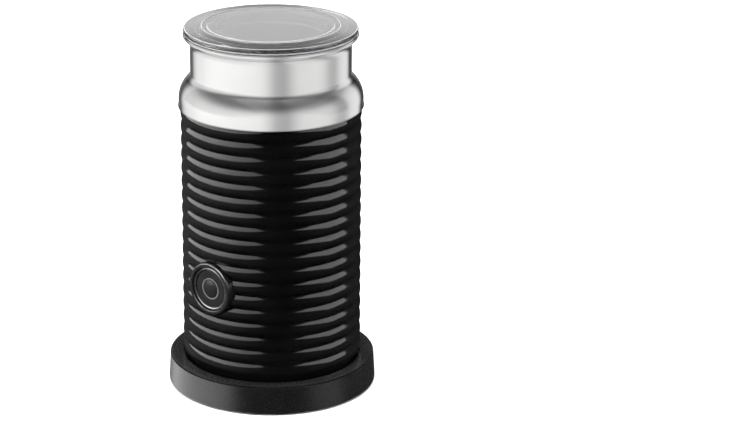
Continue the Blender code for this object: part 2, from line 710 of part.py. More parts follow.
def build_whisk():
    """The whisk on the spindle in the pot's floor: a bush, a hub with two magnets, and its coil."""
    foot_z = POT_FLOOR_Z + GAP
    foot_top = foot_z + SPINDLE_FOOT_H
    spindle = [
        (0.0, SPINDLE_TOP_Z),
        (SPINDLE_R - CHAMFER, SPINDLE_TOP_Z),
        (SPINDLE_R, SPINDLE_TOP_Z - CHAMFER),
        (SPINDLE_R, foot_top),
        (SPINDLE_FOOT_R, foot_top),
        (SPINDLE_FOOT_R, foot_z),
        (0.0, foot_z),
    ]
    turned("whisk_spindle", spindle, STEEL, SMALL_ROUND)

    bush_z = foot_top + GAP
    bush_roof_z = SPINDLE_TOP_Z + GAP
    bush_top = bush_roof_z + BUSH_ROOF
    bush = [
        (0.0, bush_top),
        (BUSH_R, bush_top),
        (BUSH_R, bush_z),
        (SPINDLE_R + GAP, bush_z),
        (SPINDLE_R + GAP, bush_roof_z),
        (0.0, bush_roof_z),
    ]
    turned("whisk_bush", bush, NYLON, SMALL_ROUND)

    hub_z = bush_z + GAP
    hub_bore_top = bush_top + GAP
    hub_outline = [
        (0.0, HUB_TOP_Z),
        (HUB_STEM_R - HUB_TOP_CHAMFER, HUB_TOP_Z),
        (HUB_STEM_R, HUB_TOP_Z - HUB_TOP_CHAMFER),
        (HUB_STEM_R, HUB_TOP_Z - HUB_HEAD_H),
        (HUB_WAIST_R, HUB_TOP_Z - HUB_NECK_H),
        (HUB_WAIST_R, hub_z + HUB_DISC_H + HUB_TOP_CHAMFER),
        (HUB_STEM_R + HUB_TOP_CHAMFER, hub_z + HUB_DISC_H),
        (HUB_R - HUB_EDGE, hub_z + HUB_DISC_H),
        (HUB_R, hub_z + HUB_DISC_H - HUB_EDGE),
        (HUB_R, hub_z + HUB_EDGE),
        (HUB_R - HUB_EDGE, hub_z),
        (BUSH_R + GAP, hub_z),
        (BUSH_R + GAP, hub_bore_top),
        (0.0, hub_bore_top),
    ]
    hub = turned("whisk_hub", hub_outline, WHISK_GREY, MEDIUM_ROUND)
    pockets = []
    pocket_length = MAGNET_H + 3 * GAP
    magnet_mesh = cylinder_mesh("whisk_magnet", WHISK_MAGNET_R, MAGNET_H, SMALL_ROUND)
    for number, (x, y, z) in enumerate(around(2, MAGNET_RADIUS_OUT, hub_z + GAP), 1):
        add_object(f"whisk_magnet_{number}", magnet_mesh, MAGNET_METAL, location=(x, y, z))
        pocket_place = (x, y, z - 2 * GAP)
        pockets.append(cutter(f"magnet_pocket_{number}", WHISK_MAGNET_R + GAP, pocket_length, pocket_place))
    combine(hub, pockets, "DIFFERENCE")

    wire = bpy.data.curves.new("whisk_coil", "CURVE")
    wire.dimensions = "3D"
    wire.bevel_depth = COIL_WIRE_R
    wire.bevel_resolution = 0
    points = coil_points()
    path = wire.splines.new("POLY")
    path.points.add(len(points) - 1)
    for place, (x, y, z) in zip(path.points, points):
        place.co = (x, y, z, 1.0)
    path.use_cyclic_u = True
    add_object("whisk_coil", wire, STEEL)


def shade_pieces():
    """Applies each piece's modifiers, and shades it smooth except across its sharp edges."""
    bpy.context.view_layer.update()
    graph = bpy.context.evaluated_depsgraph_get()
    solids = [obj for obj in PARTS.objects if obj.type == "MESH"]
    meshes = [bpy.data.meshes.new_from_object(obj.evaluated_get(graph)) for obj in solids]
    for obj, mesh in zip(solids, meshes):
        obj.modifiers.clear()
        obj.data = mesh
        mesh.shade_smooth()
        mesh.set_sharp_from_angle(angle=radians(35))


clear_scene()
PARTS = make_collection("milk_frother", shown=True)
CUTTERS = make_collection("cutters", shown=False)
SHELL_BLACK = material("gloss black plastic", (0.012, 0.012, 0.013), 0.12)
BASE_BLACK = material("matt black plastic", (0.030, 0.030, 0.031), 0.48)
COVER_BLACK = material("moulded black plastic", (0.025, 0.025, 0.026), 0.55)
CONNECTOR_BLACK = material("connector plastic", (0.020, 0.020, 0.021), 0.45)
HOUSING_BLACK = material("button housing plastic", (0.014, 0.014, 0.015), 0.22)
BUTTON_BLACK = material("button plastic", (0.040, 0.040, 0.041), 0.35)
STEEL = material("satin steel", (0.74, 0.73, 0.71), 0.26, metallic=1.0)
ZINC = material("zinc plated steel", (0.62, 0.63, 0.64), 0.35, metallic=1.0)
CONTACT_METAL = material("plated contact", (0.78, 0.72, 0.55), 0.25, metallic=1.0)
MAGNET_METAL = material("nickel plated magnet", (0.55, 0.55, 0.54), 0.22, metallic=1.0)
POT_COATING = material("non-stick coating", (0.060, 0.060, 0.062), 0.42)
CLEAR = material("clear plastic", (0.86, 0.87, 0.88), 0.04, transmission=1.0)
SEAL_GREY = material("grey silicone", (0.36, 0.36, 0.37), 0.60)
RUBBER = material("black rubber", (0.020, 0.020, 0.020), 0.80)
LIGHT_GUIDE = material("light guide", (0.85, 0.86, 0.86), 0.30)
NYLON = material("white nylon", (0.78, 0.77, 0.73), 0.50)
CERAMIC = material("heater ceramic", (0.80, 0.78, 0.72), 0.60)
BOARD_GREEN = material("circuit board", (0.020, 0.130, 0.060), 0.50)
WHISK_GREY = material("whisk plastic", (0.100, 0.100, 0.105), 0.40)

button_axis = bpy.data.objects.new("button_axis", None)
PARTS.objects.link(button_axis)
button_axis.location = (0.0, BUTTON_FACE_Y, BUTTON_Z)
button_axis.rotation_euler = (pi / 2, 0.0, 0.0)

build_base()
build_shell(button_axis)
build_collar_and_pot()
build_lid()
build_button(button_axis)
build_drive()
build_whisk()
shade_pieces()
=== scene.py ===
"""The looks of the cordless milk frother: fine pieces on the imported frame, materials, light and camera.

Outlines and the floor are in millimetres, in the row frame. The button's outlines are along its own axis,
outwards from its face. A corner's third number is the radius that rounds it.
"""

import json
from math import atan2, cos, pi, radians, sin, sqrt, tan

import bmesh
import bpy
from mathutils import Matrix, Vector


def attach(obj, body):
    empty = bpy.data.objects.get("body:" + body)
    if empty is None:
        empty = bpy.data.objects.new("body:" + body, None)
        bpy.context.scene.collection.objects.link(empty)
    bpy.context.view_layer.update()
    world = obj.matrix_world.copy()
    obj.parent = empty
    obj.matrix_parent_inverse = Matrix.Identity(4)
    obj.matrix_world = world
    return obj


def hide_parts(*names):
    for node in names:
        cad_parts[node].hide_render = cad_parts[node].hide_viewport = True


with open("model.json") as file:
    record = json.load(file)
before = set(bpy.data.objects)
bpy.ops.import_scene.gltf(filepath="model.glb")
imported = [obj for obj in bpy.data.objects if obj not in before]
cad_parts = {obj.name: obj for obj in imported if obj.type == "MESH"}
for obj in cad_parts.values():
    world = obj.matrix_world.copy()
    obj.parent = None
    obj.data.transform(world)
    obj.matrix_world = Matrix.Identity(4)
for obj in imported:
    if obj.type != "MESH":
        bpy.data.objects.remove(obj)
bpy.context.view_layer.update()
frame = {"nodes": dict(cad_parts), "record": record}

MM = 0.001
FACETS = 256
SMALL_FACETS = 96
FILLET_STEPS = 5
SHARP_ANGLE = radians(32)
GAP = 0.3

# Power base
BASE_R = 48.5
BASE_TOP_R = 47.85
BASE_TOP_Z = 13.5
BASE_BOTTOM_Z = 0.8
BASE_WALL = 2.2
RECESS_R = 41.2
RECESS_Z = 11.0
SEAM_R = 47.0
SEAM_WIDTH = 0.45
SEAM_DEPTH = 1.0
SIDE_TOP_Z = 13.05
PLATE_R = 45.9
PLATE_TOP_Z = 2.8
PLATE_GROOVE_R = 44.2
PLATE_PANEL_R = 17.0
PLATE_PANEL_DEPTH = 0.5
GROOVE_WIDTH = 0.6
GROOVE_DEPTH = 0.4
FOOT_R = 4.5
FOOT_TOP_Z = 1.7
FOOT_GROOVE_R = 3.1
FOOT_GROOVE_DEPTH = 0.25
FOOT_PAD_R = 2.1
FOOT_RING_R = 38.5
POST_R = 12.7
POST_TOP_Z = 20.5
POST_BOTTOM_Z = 5.0
POST_FLANGE_R = 16.5
POST_WELL_R = 3.0
POST_WELL_Z = 12.0
PIN_R = 1.2
CONTACT_R = 9.3
CONTACT_WALL = 0.6
CONTACT_SLOT_DEPTH = 5.0
SCREW_R = 1.3
SCREW_HEAD_R = 2.6
SCREW_HEAD_H = 1.2
SCREW_SLOT_WIDTH = 0.55
SCREW_SLOT_H = 1.2
BASE_SCREW_RING_R = 30.0
BASE_SCREW_Z = 2.1
BASE_SCREW_LENGTH = 6.1
GLAND_Z = 7.0
GLAND_R = 3.4
GLAND_BORE_R = 2.6
GLAND_FLANGE_R = 3.9

# Jug shell
RIB_CREST_R = 41.57
RIB_DEPTH = 1.0
RIB_PITCH = 6.626
RIB_FIRST_Z = 18.17
RIB_COUNT = 18
RIB_STEPS = 14
SHELL_INNER_R = 38.6
SHELL_BOTTOM_Z = 11.3
SHELL_TOP_Z = 139.0
SOCKET_R = 16.0
SOCKET_BORE_R = 13.1
SOCKET_TOP_Z = 24.0
SOCKET_ROOF_Z = 21.8
SOCKET_TRACK = 0.9
SOCKET_DIMPLE_R = 2.0
COVER_R = 38.2
COVER_GROOVE_R = 35.4
COVER_PANEL_R = 22.0
COVER_PANEL_DEPTH = 0.35
COVER_WALL = 1.6
COVER_TOP_Z = 14.0
COVER_WALL_TOP_Z = 21.0
COVER_SCREW_RING_R = 28.0
COVER_SCREW_Z = 12.8
COVER_SCREW_LENGTH = 10.0

# Steel collar, pot and lid
COLLAR_SHEET = 0.7
COLLAR_SKIRT_R = 41.65
COLLAR_BOTTOM_Z = 134.2
SHOULDER_Z = 137.3
SHOULDER_ARC_R = 12.5
SHOULDER_DEGREES = 47
WAIST_R = 36.19
WAIST_TOP_Z = 161.8
FLARE_ARC_R = 6.5
FLARE_DEGREES = 28
LIP_R = 39.0
LIP_Z = 167.3
POT_R = 32.2
POT_SHEET = 0.8
POT_FLOOR_Z = 88.0
POT_CORNER_R = 8.0
POT_MOUTH_ARC_R = 4.8
POT_LIP_R = 37.4
POT_LIP_Z = 167.2
POT_MARKS_Z = (113.0, 128.0)
POT_MARK_H = 0.25
GASKET_R = 39.9
GASKET_H = 2.2
LID_R = 39.88
LID_TOP_Z = 171.4
LID_UNDER_Z = 169.5
LID_FLAT_R = 31.6
LID_EDGE_DROP = 0.7
LID_GROOVE_R = 29.1
LID_GROOVE = 0.18
LID_LINE_WIDTH = 0.24
LID_EDGE_LINE_R = 39.45
DRIP_R = 25.9
DRIP_WALL = 0.8
DRIP_BOTTOM_Z = 163.5
DRIP_FROST_Z = 164.9
LID_RIM_BOTTOM_Z = 167.6
LID_RIM_INNER_R = 35.2
SKIRT_R = 30.9
SKIRT_INNER_R = 28.4
SKIRT_BOTTOM_Z = 165.0
SEAL_R = 32.9
SEAL_BOTTOM_Z = 165.3
SEAL_TOP_Z = 167.1

# Button, on its own axis
BUTTON_FACE_Y = -42.2
BUTTON_Z = 55.5
HOUSING_R = 12.3
HOUSING_PROUD = 0.9
HOUSING_DEPTH = 7.2
BEZEL_R = 9.9
BEZEL_WALL = 0.9
BEZEL_DEPTH = 1.2
CAP_R = 8.7
CAP_FACE = 0.4
CAP_BACK = 2.8
CAP_LIP = 0.06
CAP_UNDERCUT = 0.08
DOME_R = 4.1
DOME_RISE = 0.8
DOME_STEPS = 12
INDICATOR_R = 5.1
INDICATOR_WALL = 0.7
INDICATOR_DEPTH = 1.0
INDICATOR_LIP = 0.4
INDICATOR_STEP = 0.13
STEM_R = 2.0
STEM_BACK = 4.6
PLUNGER_R = 1.5
PLUNGER_BACK = 7.8

# Drive and whisk
HEATER_R = 29.0
HEATER_BORE_R = 12.5
HEATER_TOP_Z = 86.9
HEATER_H = 1.8
FUSE_R = 2.2
FUSE_LENGTH = 9.0
FUSE_OUT = 20.0
MOTOR_R = 12.2
MOTOR_BOTTOM_Z = 46.0
MOTOR_TOP_Z = 75.7
MOTOR_GROOVE_DOWN = 4.0
MOTOR_DIMPLE_R = 4.0
MOTOR_PLATE_R = 38.0
MOTOR_PLATE_BORE_R = 6.0
MOTOR_PLATE_H = 2.0
SHAFT_R = 1.15
SHAFT_BOTTOM_Z = 60.0
CARRIER_R = 9.5
CARRIER_Z = 80.0
CARRIER_TOP_Z = 82.6
MAGNET_R = 2.4
MAGNET_H = 2.8
MAGNET_OUT = 6.0
WHISK_MAGNET_R = 1.9
SPINDLE_R = 2.0
SPINDLE_FOOT_R = 5.0
SPINDLE_TOP_Z = 100.0
BUSH_R = 3.2
BUSH_Z = 89.6
BUSH_TOP_Z = 101.5
HUB_Z = 89.9
HUB_R = 9.0
HUB_DISC_TOP_Z = 94.5
HUB_TOP_Z = 112.0
HUB_STEM_R = 5.0
HUB_WAIST_R = 4.1
COIL_RING_R = 12.5
COIL_R = 2.4
COIL_WIRE_R = 0.5
COIL_Z = 93.0
COIL_TURNS = 20
COIL_TURN_POINTS = 20

# Camera and light, in metres and degrees; bearings are from the camera, to the right
CAMERA_AZIMUTH = 42.0
CAMERA_DISTANCE = 1.14508
CAMERA_HEIGHT = 0.48278
CAMERA_PITCH = 19.276
CAMERA_ROLL = 0.217
CAMERA_LENS = 125.63
CAMERA_SHIFT = 0.138
PANEL_R = 0.95
PANEL_EYE_Z = 0.09
PANEL_STEP = 5.0
STEEL_GLOW_R = 0.8
BASE_GLOW_R = 0.7
LID_GLOW_R = 0.65
BUTTON_GLOW_R = 0.6
GLOW_EYE_Z = 0.15
GLOW_LOWEST = -80.0
GLOW_HIGHEST = 85.0
FILL = 0.35
SIDE_GLOW_RIGHT = 0.14
SIDE_GLOW_MIDDLE = 0.03
SIDE_GLOW_LEFT = 0.34
WORLD_DARK_Z = -0.8
WORLD_LIT_Z = -0.3
OVERHEAD_SIZE = 1.6
OVERHEAD_Z = 2.4
OVERHEAD_WATTS = 125.0
BASE_LAMP_SIZE = 0.3
BASE_LAMP_WATTS = 320.0
WHITE = (1.0, 1.0, 1.0)
WARM_WHITE = (1.0, 0.98, 0.95)

# Floor
FLOOR_R = 1400.0
FLOOR_DEPTH = 10.0

# Materials; a clearness is the share of light that passes
NOISE_LOW = 0.3
NOISE_HIGH = 0.7
STEEL_BRUSHING = 0.4
QUARTER_TURN = 0.25
HOUSING_IOR = 1.8
CLEAR_IOR = 1.5
CLEARNESS = 0.975
FROST_CLEARNESS = 0.55
DRIP_CLEARNESS = 0.08
SMOKE_COLOUR = (0.40, 0.41, 0.43, 1.0)
SMOKE_DENSITY = 100.0


def arc(x, z, radius, start, end, steps):
    """Points of an arc round (x, z), its angles in degrees from +X towards +Z."""
    angles = [radians(start + (end - start) * i / steps) for i in range(steps + 1)]
    return [(x + radius * cos(angle), z + radius * sin(angle)) for angle in angles]


def rounded_corner(before, here, after, radius):
    """The arc that rounds one corner of an outline."""
    to_before = before - here
    to_after = after - here
    half_angle = to_before.angle(to_after) / 2
    reach = min(radius / tan(half_angle), 0.45 * to_before.length, 0.45 * to_after.length)
    middle = (to_before.normalized() + to_after.normalized()).normalized()
    centre = here + middle * (reach / cos(half_angle))
    first = here + to_before.normalized() * reach - centre
    last = here + to_after.normalized() * reach - centre
    start = atan2(first.y, first.x)
    sweep = atan2(first.x * last.y - first.y * last.x, first.dot(last))
    length = first.length
    angles = [start + sweep * i / FILLET_STEPS for i in range(FILLET_STEPS + 1)]
    return [(centre.x + length * cos(a), centre.y + length * sin(a)) for a in angles]


def soften(corners):
    """The outline, with each corner that has a third number rounded to that radius."""
    points = []
    for i, corner in enumerate(corners):
        if len(corner) == 2:
            points.append(corner)
            continue
        before = Vector(corners[i - 1][:2])
        after = Vector(corners[(i + 1) % len(corners)][:2])
        points += rounded_corner(before, Vector(corner[:2]), after, corner[2])
    return points


def sheet_outline(points, thickness):
    """The closed outline of a sheet that lies on the inner side of a line, with rounded ends."""
    line = [Vector(point) for point in points]
    inner = []
    for i, point in enumerate(line):
        along = line[min(i + 1, len(line) - 1)] - line[max(i - 1, 0)]
        across = Vector((along.y, -along.x)).normalized()
        inner.append(point + across * thickness)
    edge = thickness * 0.45
    outer_corners = [(*line[0], edge), *(tuple(p) for p in line[1:-1]), (*line[-1], edge)]
    inner_corners = [(*inner[-1], edge), *(tuple(p) for p in reversed(inner[1:-1])), (*inner[0], edge)]
    return outer_corners + inner_corners


def turned_mesh(name, corners, closed=True, facets=FACETS):
    """An outline turned about Z. An open outline starts and ends on the axis."""
    angles = [2 * pi * i / facets for i in range(facets)]
    shape = bmesh.new()
    rings = []
    for x, z in soften(corners):
        if x == 0.0:
            rings.append([shape.verts.new((0.0, 0.0, z * MM))] * facets)
        else:
            rings.append([shape.verts.new((x * MM * cos(a), x * MM * sin(a), z * MM)) for a in angles])
    following = rings[1:] + (rings[:1] if closed else [])
    for upper, lower in zip(rings, following):
        for i in range(facets):
            following_i = (i + 1) % facets
            face = dict.fromkeys((upper[i], upper[following_i], lower[following_i], lower[i]))
            if len(face) > 2:
                shape.faces.new(face)
    bmesh.ops.recalc_face_normals(shape, faces=shape.faces)
    mesh = bpy.data.meshes.new(name)
    shape.to_mesh(mesh)
    shape.free()
    return mesh


def box_mesh(name, size):
    """A box centred on the origin, its size in millimetres."""
    mesh = bpy.data.meshes.new(name)
    shape = bmesh.new()
    bmesh.ops.create_cube(shape, size=MM)
    bmesh.ops.scale(shape, vec=size, verts=shape.verts)
    shape.to_mesh(mesh)
    shape.free()
    return mesh


def place(x=0.0, y=0.0, z=0.0, tilt=0.0, turn=0.0):
    """A place in millimetres, tilted about X and then turned about Z, in radians."""
    move = Matrix.Translation((x * MM, y * MM, z * MM))
    return move @ Matrix.Rotation(turn, 4, "Z") @ Matrix.Rotation(tilt, 4, "X")


def around(count, radius, z, start=0.0):
    """Evenly spaced places on a circle about the Z axis."""
    angles = [start + 2 * pi * i / count for i in range(count)]
    return [place(radius * cos(a), radius * sin(a), z) for a in angles]


def cut(obj, tools):
    """Cuts the tools, each a mesh and its place, from an object."""
    objects = []
    for mesh, where in tools:
        tool = bpy.data.objects.new(mesh.name, mesh)
        bpy.context.scene.collection.objects.link(tool)
        tool.matrix_world = where
        objects.append(tool)
        change = obj.modifiers.new(mesh.name, "BOOLEAN")
        change.operation = "DIFFERENCE"
        change.solver = "EXACT"
        change.object = tool
    bpy.context.view_layer.update()
    result = bpy.data.meshes.new_from_object(obj.evaluated_get(bpy.context.evaluated_depsgraph_get()))
    obj.modifiers.clear()
    obj.data = result
    for tool in objects:
        bpy.data.objects.remove(tool)


def body_of(node):
    groups = frame["record"]["behaviour"]["bodies"]
    return next(body for body, members in groups.items() if node in members)


def smooth(mesh):
    mesh.shade_smooth()
    mesh.set_sharp_from_angle(angle=SHARP_ANGLE)


def piece(node, mesh, slot, where=None, tools=()):
    """A fine piece that stands for one CAD node, and moves with its body."""
    obj = bpy.data.objects.new(f"{node}_fine", mesh)
    bpy.context.scene.collection.objects.link(obj)
    if where is not None:
        obj.matrix_world = where
    if tools:
        cut(obj, tools)
    smooth(obj.data)
    even = obj.modifiers.new("even_normals", "WEIGHTED_NORMAL")
    even.keep_sharp = True
    obj.data.materials.clear()
    obj.data.materials.append(LOOKS[slot])
    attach(obj, body_of(node))
    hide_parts(node)
    return obj


def turned(node, corners, slot, closed=True, facets=FACETS, where=None, tools=()):
    return piece(node, turned_mesh(node, corners, closed, facets), slot, where, tools)


def several(name, mesh, slot, places):
    """A numbered piece at each place."""
    for number, where in enumerate(places, 1):
        piece(f"{name}_{number}", mesh, slot, where)


def ring(outer, inner, top, bottom, edge=0.2):
    return [(outer, top, edge), (outer, bottom, edge), (inner, bottom, edge), (inner, top, edge)]


def disc(radius, top, bottom, edge=0.2):
    return [(0.0, top), (radius, top, edge), (radius, bottom, edge), (0.0, bottom)]


def rod_mesh(name, radius, bottom, top, facets=SMALL_FACETS):
    """A plain rod that cuts a hole."""
    return turned_mesh(name, [(0.0, top), (radius, top), (radius, bottom), (0.0, bottom)], False, facets)


# Materials


def node_of(tree, kind, inputs=None, **settings):
    node = tree.nodes.new(kind)
    for name, value in settings.items():
        setattr(node, name, value)
    for name, value in (inputs or {}).items():
        node.inputs[name].default_value = value
    return node


def math_of(tree, operation, *values):
    """A Math node's output. Each value is a number or another node's output."""
    made = node_of(tree, "ShaderNodeMath", operation=operation)
    for socket, value in zip(made.inputs, values):
        if isinstance(value, float):
            socket.default_value = value
        else:
            tree.links.new(value, socket)
    return made.outputs["Value"]


def faded(tree, share, at_zero, at_one):
    """A value that goes from one number to another as the share goes from 0 to 1."""
    made = node_of(tree, "ShaderNodeMapRange", {"To Min": at_zero, "To Max": at_one})
    tree.links.new(share, made.inputs["Value"])
    return made.outputs["Result"]


def noise(tree, vector, scale, detail):
    made = node_of(tree, "ShaderNodeTexNoise", {"Scale": scale, "Detail": detail})
    tree.links.new(vector, made.inputs["Vector"])
    return made.outputs["Fac"]


def surface(
    name, dark, light, smooth_end, rough_end, metallic=0.0, patch=60.0, grain=900.0, relief=0.000004,
    stretch=(1.0, 1.0, 1.0),
):
    """A material whose tone, roughness and relief follow noise in the piece's own space."""
    made = bpy.data.materials.new(name)
    made.use_nodes = True
    tree = made.node_tree
    shader = tree.nodes["Principled BSDF"]
    shader.inputs["Metallic"].default_value = metallic
    space = node_of(tree, "ShaderNodeTexCoord")
    stretched = node_of(tree, "ShaderNodeMapping", {"Scale": stretch})
    tree.links.new(space.outputs["Object"], stretched.inputs["Vector"])
    patches = noise(tree, space.outputs["Object"], patch, 4.0)
    grains = noise(tree, stretched.outputs["Vector"], grain, 3.0)
    tones = node_of(tree, "ShaderNodeValToRGB")
    tones.color_ramp.elements[0].position = NOISE_LOW
    tones.color_ramp.elements[0].color = (*dark, 1.0)
    tones.color_ramp.elements[1].position = NOISE_HIGH
    tones.color_ramp.elements[1].color = (*light, 1.0)
    tree.links.new(patches, tones.inputs["Fac"])
    tree.links.new(tones.outputs["Color"], shader.inputs["Base Color"])
    wear = node_of(
        tree, "ShaderNodeMapRange",
        {"From Min": NOISE_LOW, "From Max": NOISE_HIGH, "To Min": smooth_end, "To Max": rough_end},
    )
    tree.links.new(grains, wear.inputs["Value"])
    tree.links.new(wear.outputs["Result"], shader.inputs["Roughness"])
    bump = node_of(tree, "ShaderNodeBump", {"Strength": 1.0, "Distance": relief})
    tree.links.new(grains, bump.inputs["Height"])
    tree.links.new(bump.outputs["Normal"], shader.inputs["Normal"])
    return made, shader


def brushed_round(material, shader, amount):
    """Brushes a turned piece round its axis, so that reflections spread along the axis."""
    tree = material.node_tree
    tangent = node_of(tree, "ShaderNodeTangent", direction_type="RADIAL", axis="Z")
    tree.links.new(tangent.outputs["Tangent"], shader.inputs["Tangent"])
    shader.inputs["Anisotropic"].default_value = amount
    shader.inputs["Anisotropic Rotation"].default_value = QUARTER_TURN


def frost_lines(tree, shader, outer_radii):
    """Clear plastic, frosted in a thin line inside each radius and on the foot of the ring under the lid."""
    space = node_of(tree, "ShaderNodeTexCoord")
    flat = node_of(tree, "ShaderNodeVectorMath", operation="MULTIPLY")
    flat.inputs[1].default_value = (1.0, 1.0, 0.0)
    tree.links.new(space.outputs["Object"], flat.inputs[0])
    length = node_of(tree, "ShaderNodeVectorMath", operation="LENGTH")
    tree.links.new(flat.outputs["Vector"], length.inputs[0])
    radius = length.outputs["Value"]
    half_line = LID_LINE_WIDTH / 2
    clear = None
    for outer in outer_radii:
        line = math_of(tree, "COMPARE", radius, (outer - half_line) * MM, half_line * MM)
        if clear is None:
            clear = faded(tree, line, CLEARNESS, FROST_CLEARNESS)
        else:
            clear = math_of(tree, "MULTIPLY", clear, faded(tree, line, 1.0, FROST_CLEARNESS))
    height = node_of(tree, "ShaderNodeSeparateXYZ")
    tree.links.new(space.outputs["Object"], height.inputs["Vector"])
    on_ring = math_of(tree, "COMPARE", radius, (DRIP_R - DRIP_WALL / 2) * MM, DRIP_WALL * MM)
    low_down = math_of(tree, "LESS_THAN", height.outputs["Z"], DRIP_FROST_Z * MM)
    ring_foot = math_of(tree, "MULTIPLY", on_ring, low_down)
    clear = math_of(tree, "MULTIPLY", clear, faded(tree, ring_foot, 1.0, DRIP_CLEARNESS))
    tree.links.new(clear, shader.inputs["Transmission Weight"])


def make_looks():
    looks = {}

    def add(slot, *tones, **settings):
        looks[slot], shader = surface(slot, *tones, **settings)
        return shader

    add("gloss_black_plastic", (0.0012, 0.0012, 0.0014), (0.0028, 0.0028, 0.0031), 0.08, 0.13,
        patch=45.0, grain=1400.0, relief=0.0000006)
    add("matt_black_plastic", (0.0045, 0.0045, 0.0046), (0.0075, 0.0075, 0.0076), 0.22, 0.30,
        patch=70.0, grain=2600.0, relief=0.000014)
    add("moulded_black_plastic", (0.020, 0.020, 0.021), (0.030, 0.030, 0.031), 0.45, 0.62,
        patch=80.0, grain=1900.0, relief=0.000014)
    add("connector_plastic", (0.017, 0.017, 0.018), (0.024, 0.024, 0.025), 0.38, 0.52,
        patch=90.0, grain=2100.0, relief=0.000008)
    shader = add("housing_plastic", (0.003, 0.003, 0.0033), (0.006, 0.006, 0.0064), 0.20, 0.28,
                 patch=120.0, grain=2200.0, relief=0.000003)
    shader.inputs["IOR"].default_value = HOUSING_IOR
    add("button_plastic", (0.007, 0.007, 0.0072), (0.011, 0.011, 0.0113), 0.26, 0.34,
        patch=150.0, grain=3000.0, relief=0.000006)
    shader = add("satin_steel", (0.71, 0.71, 0.705), (0.77, 0.77, 0.765), 0.15, 0.19, metallic=1.0,
                 patch=30.0, grain=60.0, relief=0.0000015, stretch=(0.6, 0.6, 55.0))
    brushed_round(looks["satin_steel"], shader, STEEL_BRUSHING)
    add("dark_chrome", (0.40, 0.40, 0.405), (0.48, 0.48, 0.486), 0.24, 0.32, metallic=1.0,
        patch=200.0, grain=1400.0, relief=0.000002)
    add("plated_steel", (0.55, 0.56, 0.57), (0.68, 0.69, 0.70), 0.28, 0.42, metallic=1.0,
        patch=300.0, grain=1200.0, relief=0.000004)
    add("plated_contact", (0.72, 0.66, 0.50), (0.84, 0.78, 0.60), 0.20, 0.32, metallic=1.0,
        patch=250.0, grain=1500.0, relief=0.000003)
    add("magnet", (0.48, 0.48, 0.47), (0.62, 0.62, 0.61), 0.16, 0.28, metallic=1.0,
        patch=350.0, grain=1600.0, relief=0.000003)
    add("pot_coating", (0.050, 0.050, 0.052), (0.072, 0.072, 0.075), 0.34, 0.46,
        patch=120.0, grain=2400.0, relief=0.000010)
    shader = add("clear_plastic", (0.84, 0.85, 0.86), (0.92, 0.93, 0.94), 0.02, 0.05,
                 patch=25.0, grain=300.0, relief=0.0000005)
    shader.inputs["IOR"].default_value = CLEAR_IOR
    tree = looks["clear_plastic"].node_tree
    frost_lines(tree, shader, (LID_GROOVE_R, LID_FLAT_R, LID_EDGE_LINE_R))
    smoke = node_of(tree, "ShaderNodeVolumeAbsorption", {"Color": SMOKE_COLOUR, "Density": SMOKE_DENSITY})
    tree.links.new(smoke.outputs["Volume"], tree.nodes["Material Output"].inputs["Volume"])
    add("grey_silicone", (0.30, 0.30, 0.31), (0.40, 0.40, 0.41), 0.50, 0.65,
        patch=100.0, grain=1500.0, relief=0.000008)
    add("black_rubber", (0.016, 0.016, 0.016), (0.026, 0.026, 0.026), 0.70, 0.85,
        patch=160.0, grain=1800.0, relief=0.000016)
    add("light_guide", (0.13, 0.13, 0.13), (0.18, 0.18, 0.18), 0.25, 0.35,
        patch=400.0, grain=2600.0, relief=0.000002)
    add("white_nylon", (0.70, 0.69, 0.65), (0.82, 0.81, 0.77), 0.42, 0.56,
        patch=110.0, grain=1600.0, relief=0.000008)
    add("heater_enamel", (0.70, 0.68, 0.62), (0.84, 0.82, 0.76), 0.50, 0.66,
        patch=90.0, grain=1300.0, relief=0.000010)
    add("circuit_board", (0.014, 0.100, 0.045), (0.026, 0.160, 0.075), 0.40, 0.56,
        patch=500.0, grain=2200.0, relief=0.000010)
    add("whisk_plastic", (0.085, 0.085, 0.090), (0.115, 0.115, 0.120), 0.34, 0.46,
        patch=130.0, grain=2000.0, relief=0.000006)
    return looks


# The pieces


def screw_mesh(name, length):
    """A pan head screw that points up, its head's underside at 0, with a cross in the head."""
    corners = [
        (0.0, length),
        (SCREW_R, length - SCREW_R / 2),
        (SCREW_R, 0.0),
        (SCREW_HEAD_R, 0.0, 0.1),
        (SCREW_HEAD_R, -SCREW_HEAD_H * 0.55, 0.3),
        (SCREW_HEAD_R * 0.7, -SCREW_HEAD_H, 0.3),
        (0.0, -SCREW_HEAD_H),
    ]
    obj = bpy.data.objects.new(name, turned_mesh(name, corners, False, SMALL_FACETS))
    bpy.context.scene.collection.objects.link(obj)
    slot_size = (SCREW_HEAD_R * 1.2, SCREW_SLOT_WIDTH, SCREW_SLOT_H)
    slots = []
    for slot_name, turn in (("slot", 0.0), ("crossed_slot", pi / 2)):
        slots.append((box_mesh(slot_name, slot_size), place(z=-SCREW_HEAD_H, turn=turn)))
    cut(obj, slots)
    mesh = obj.data
    bpy.data.objects.remove(obj)
    return mesh


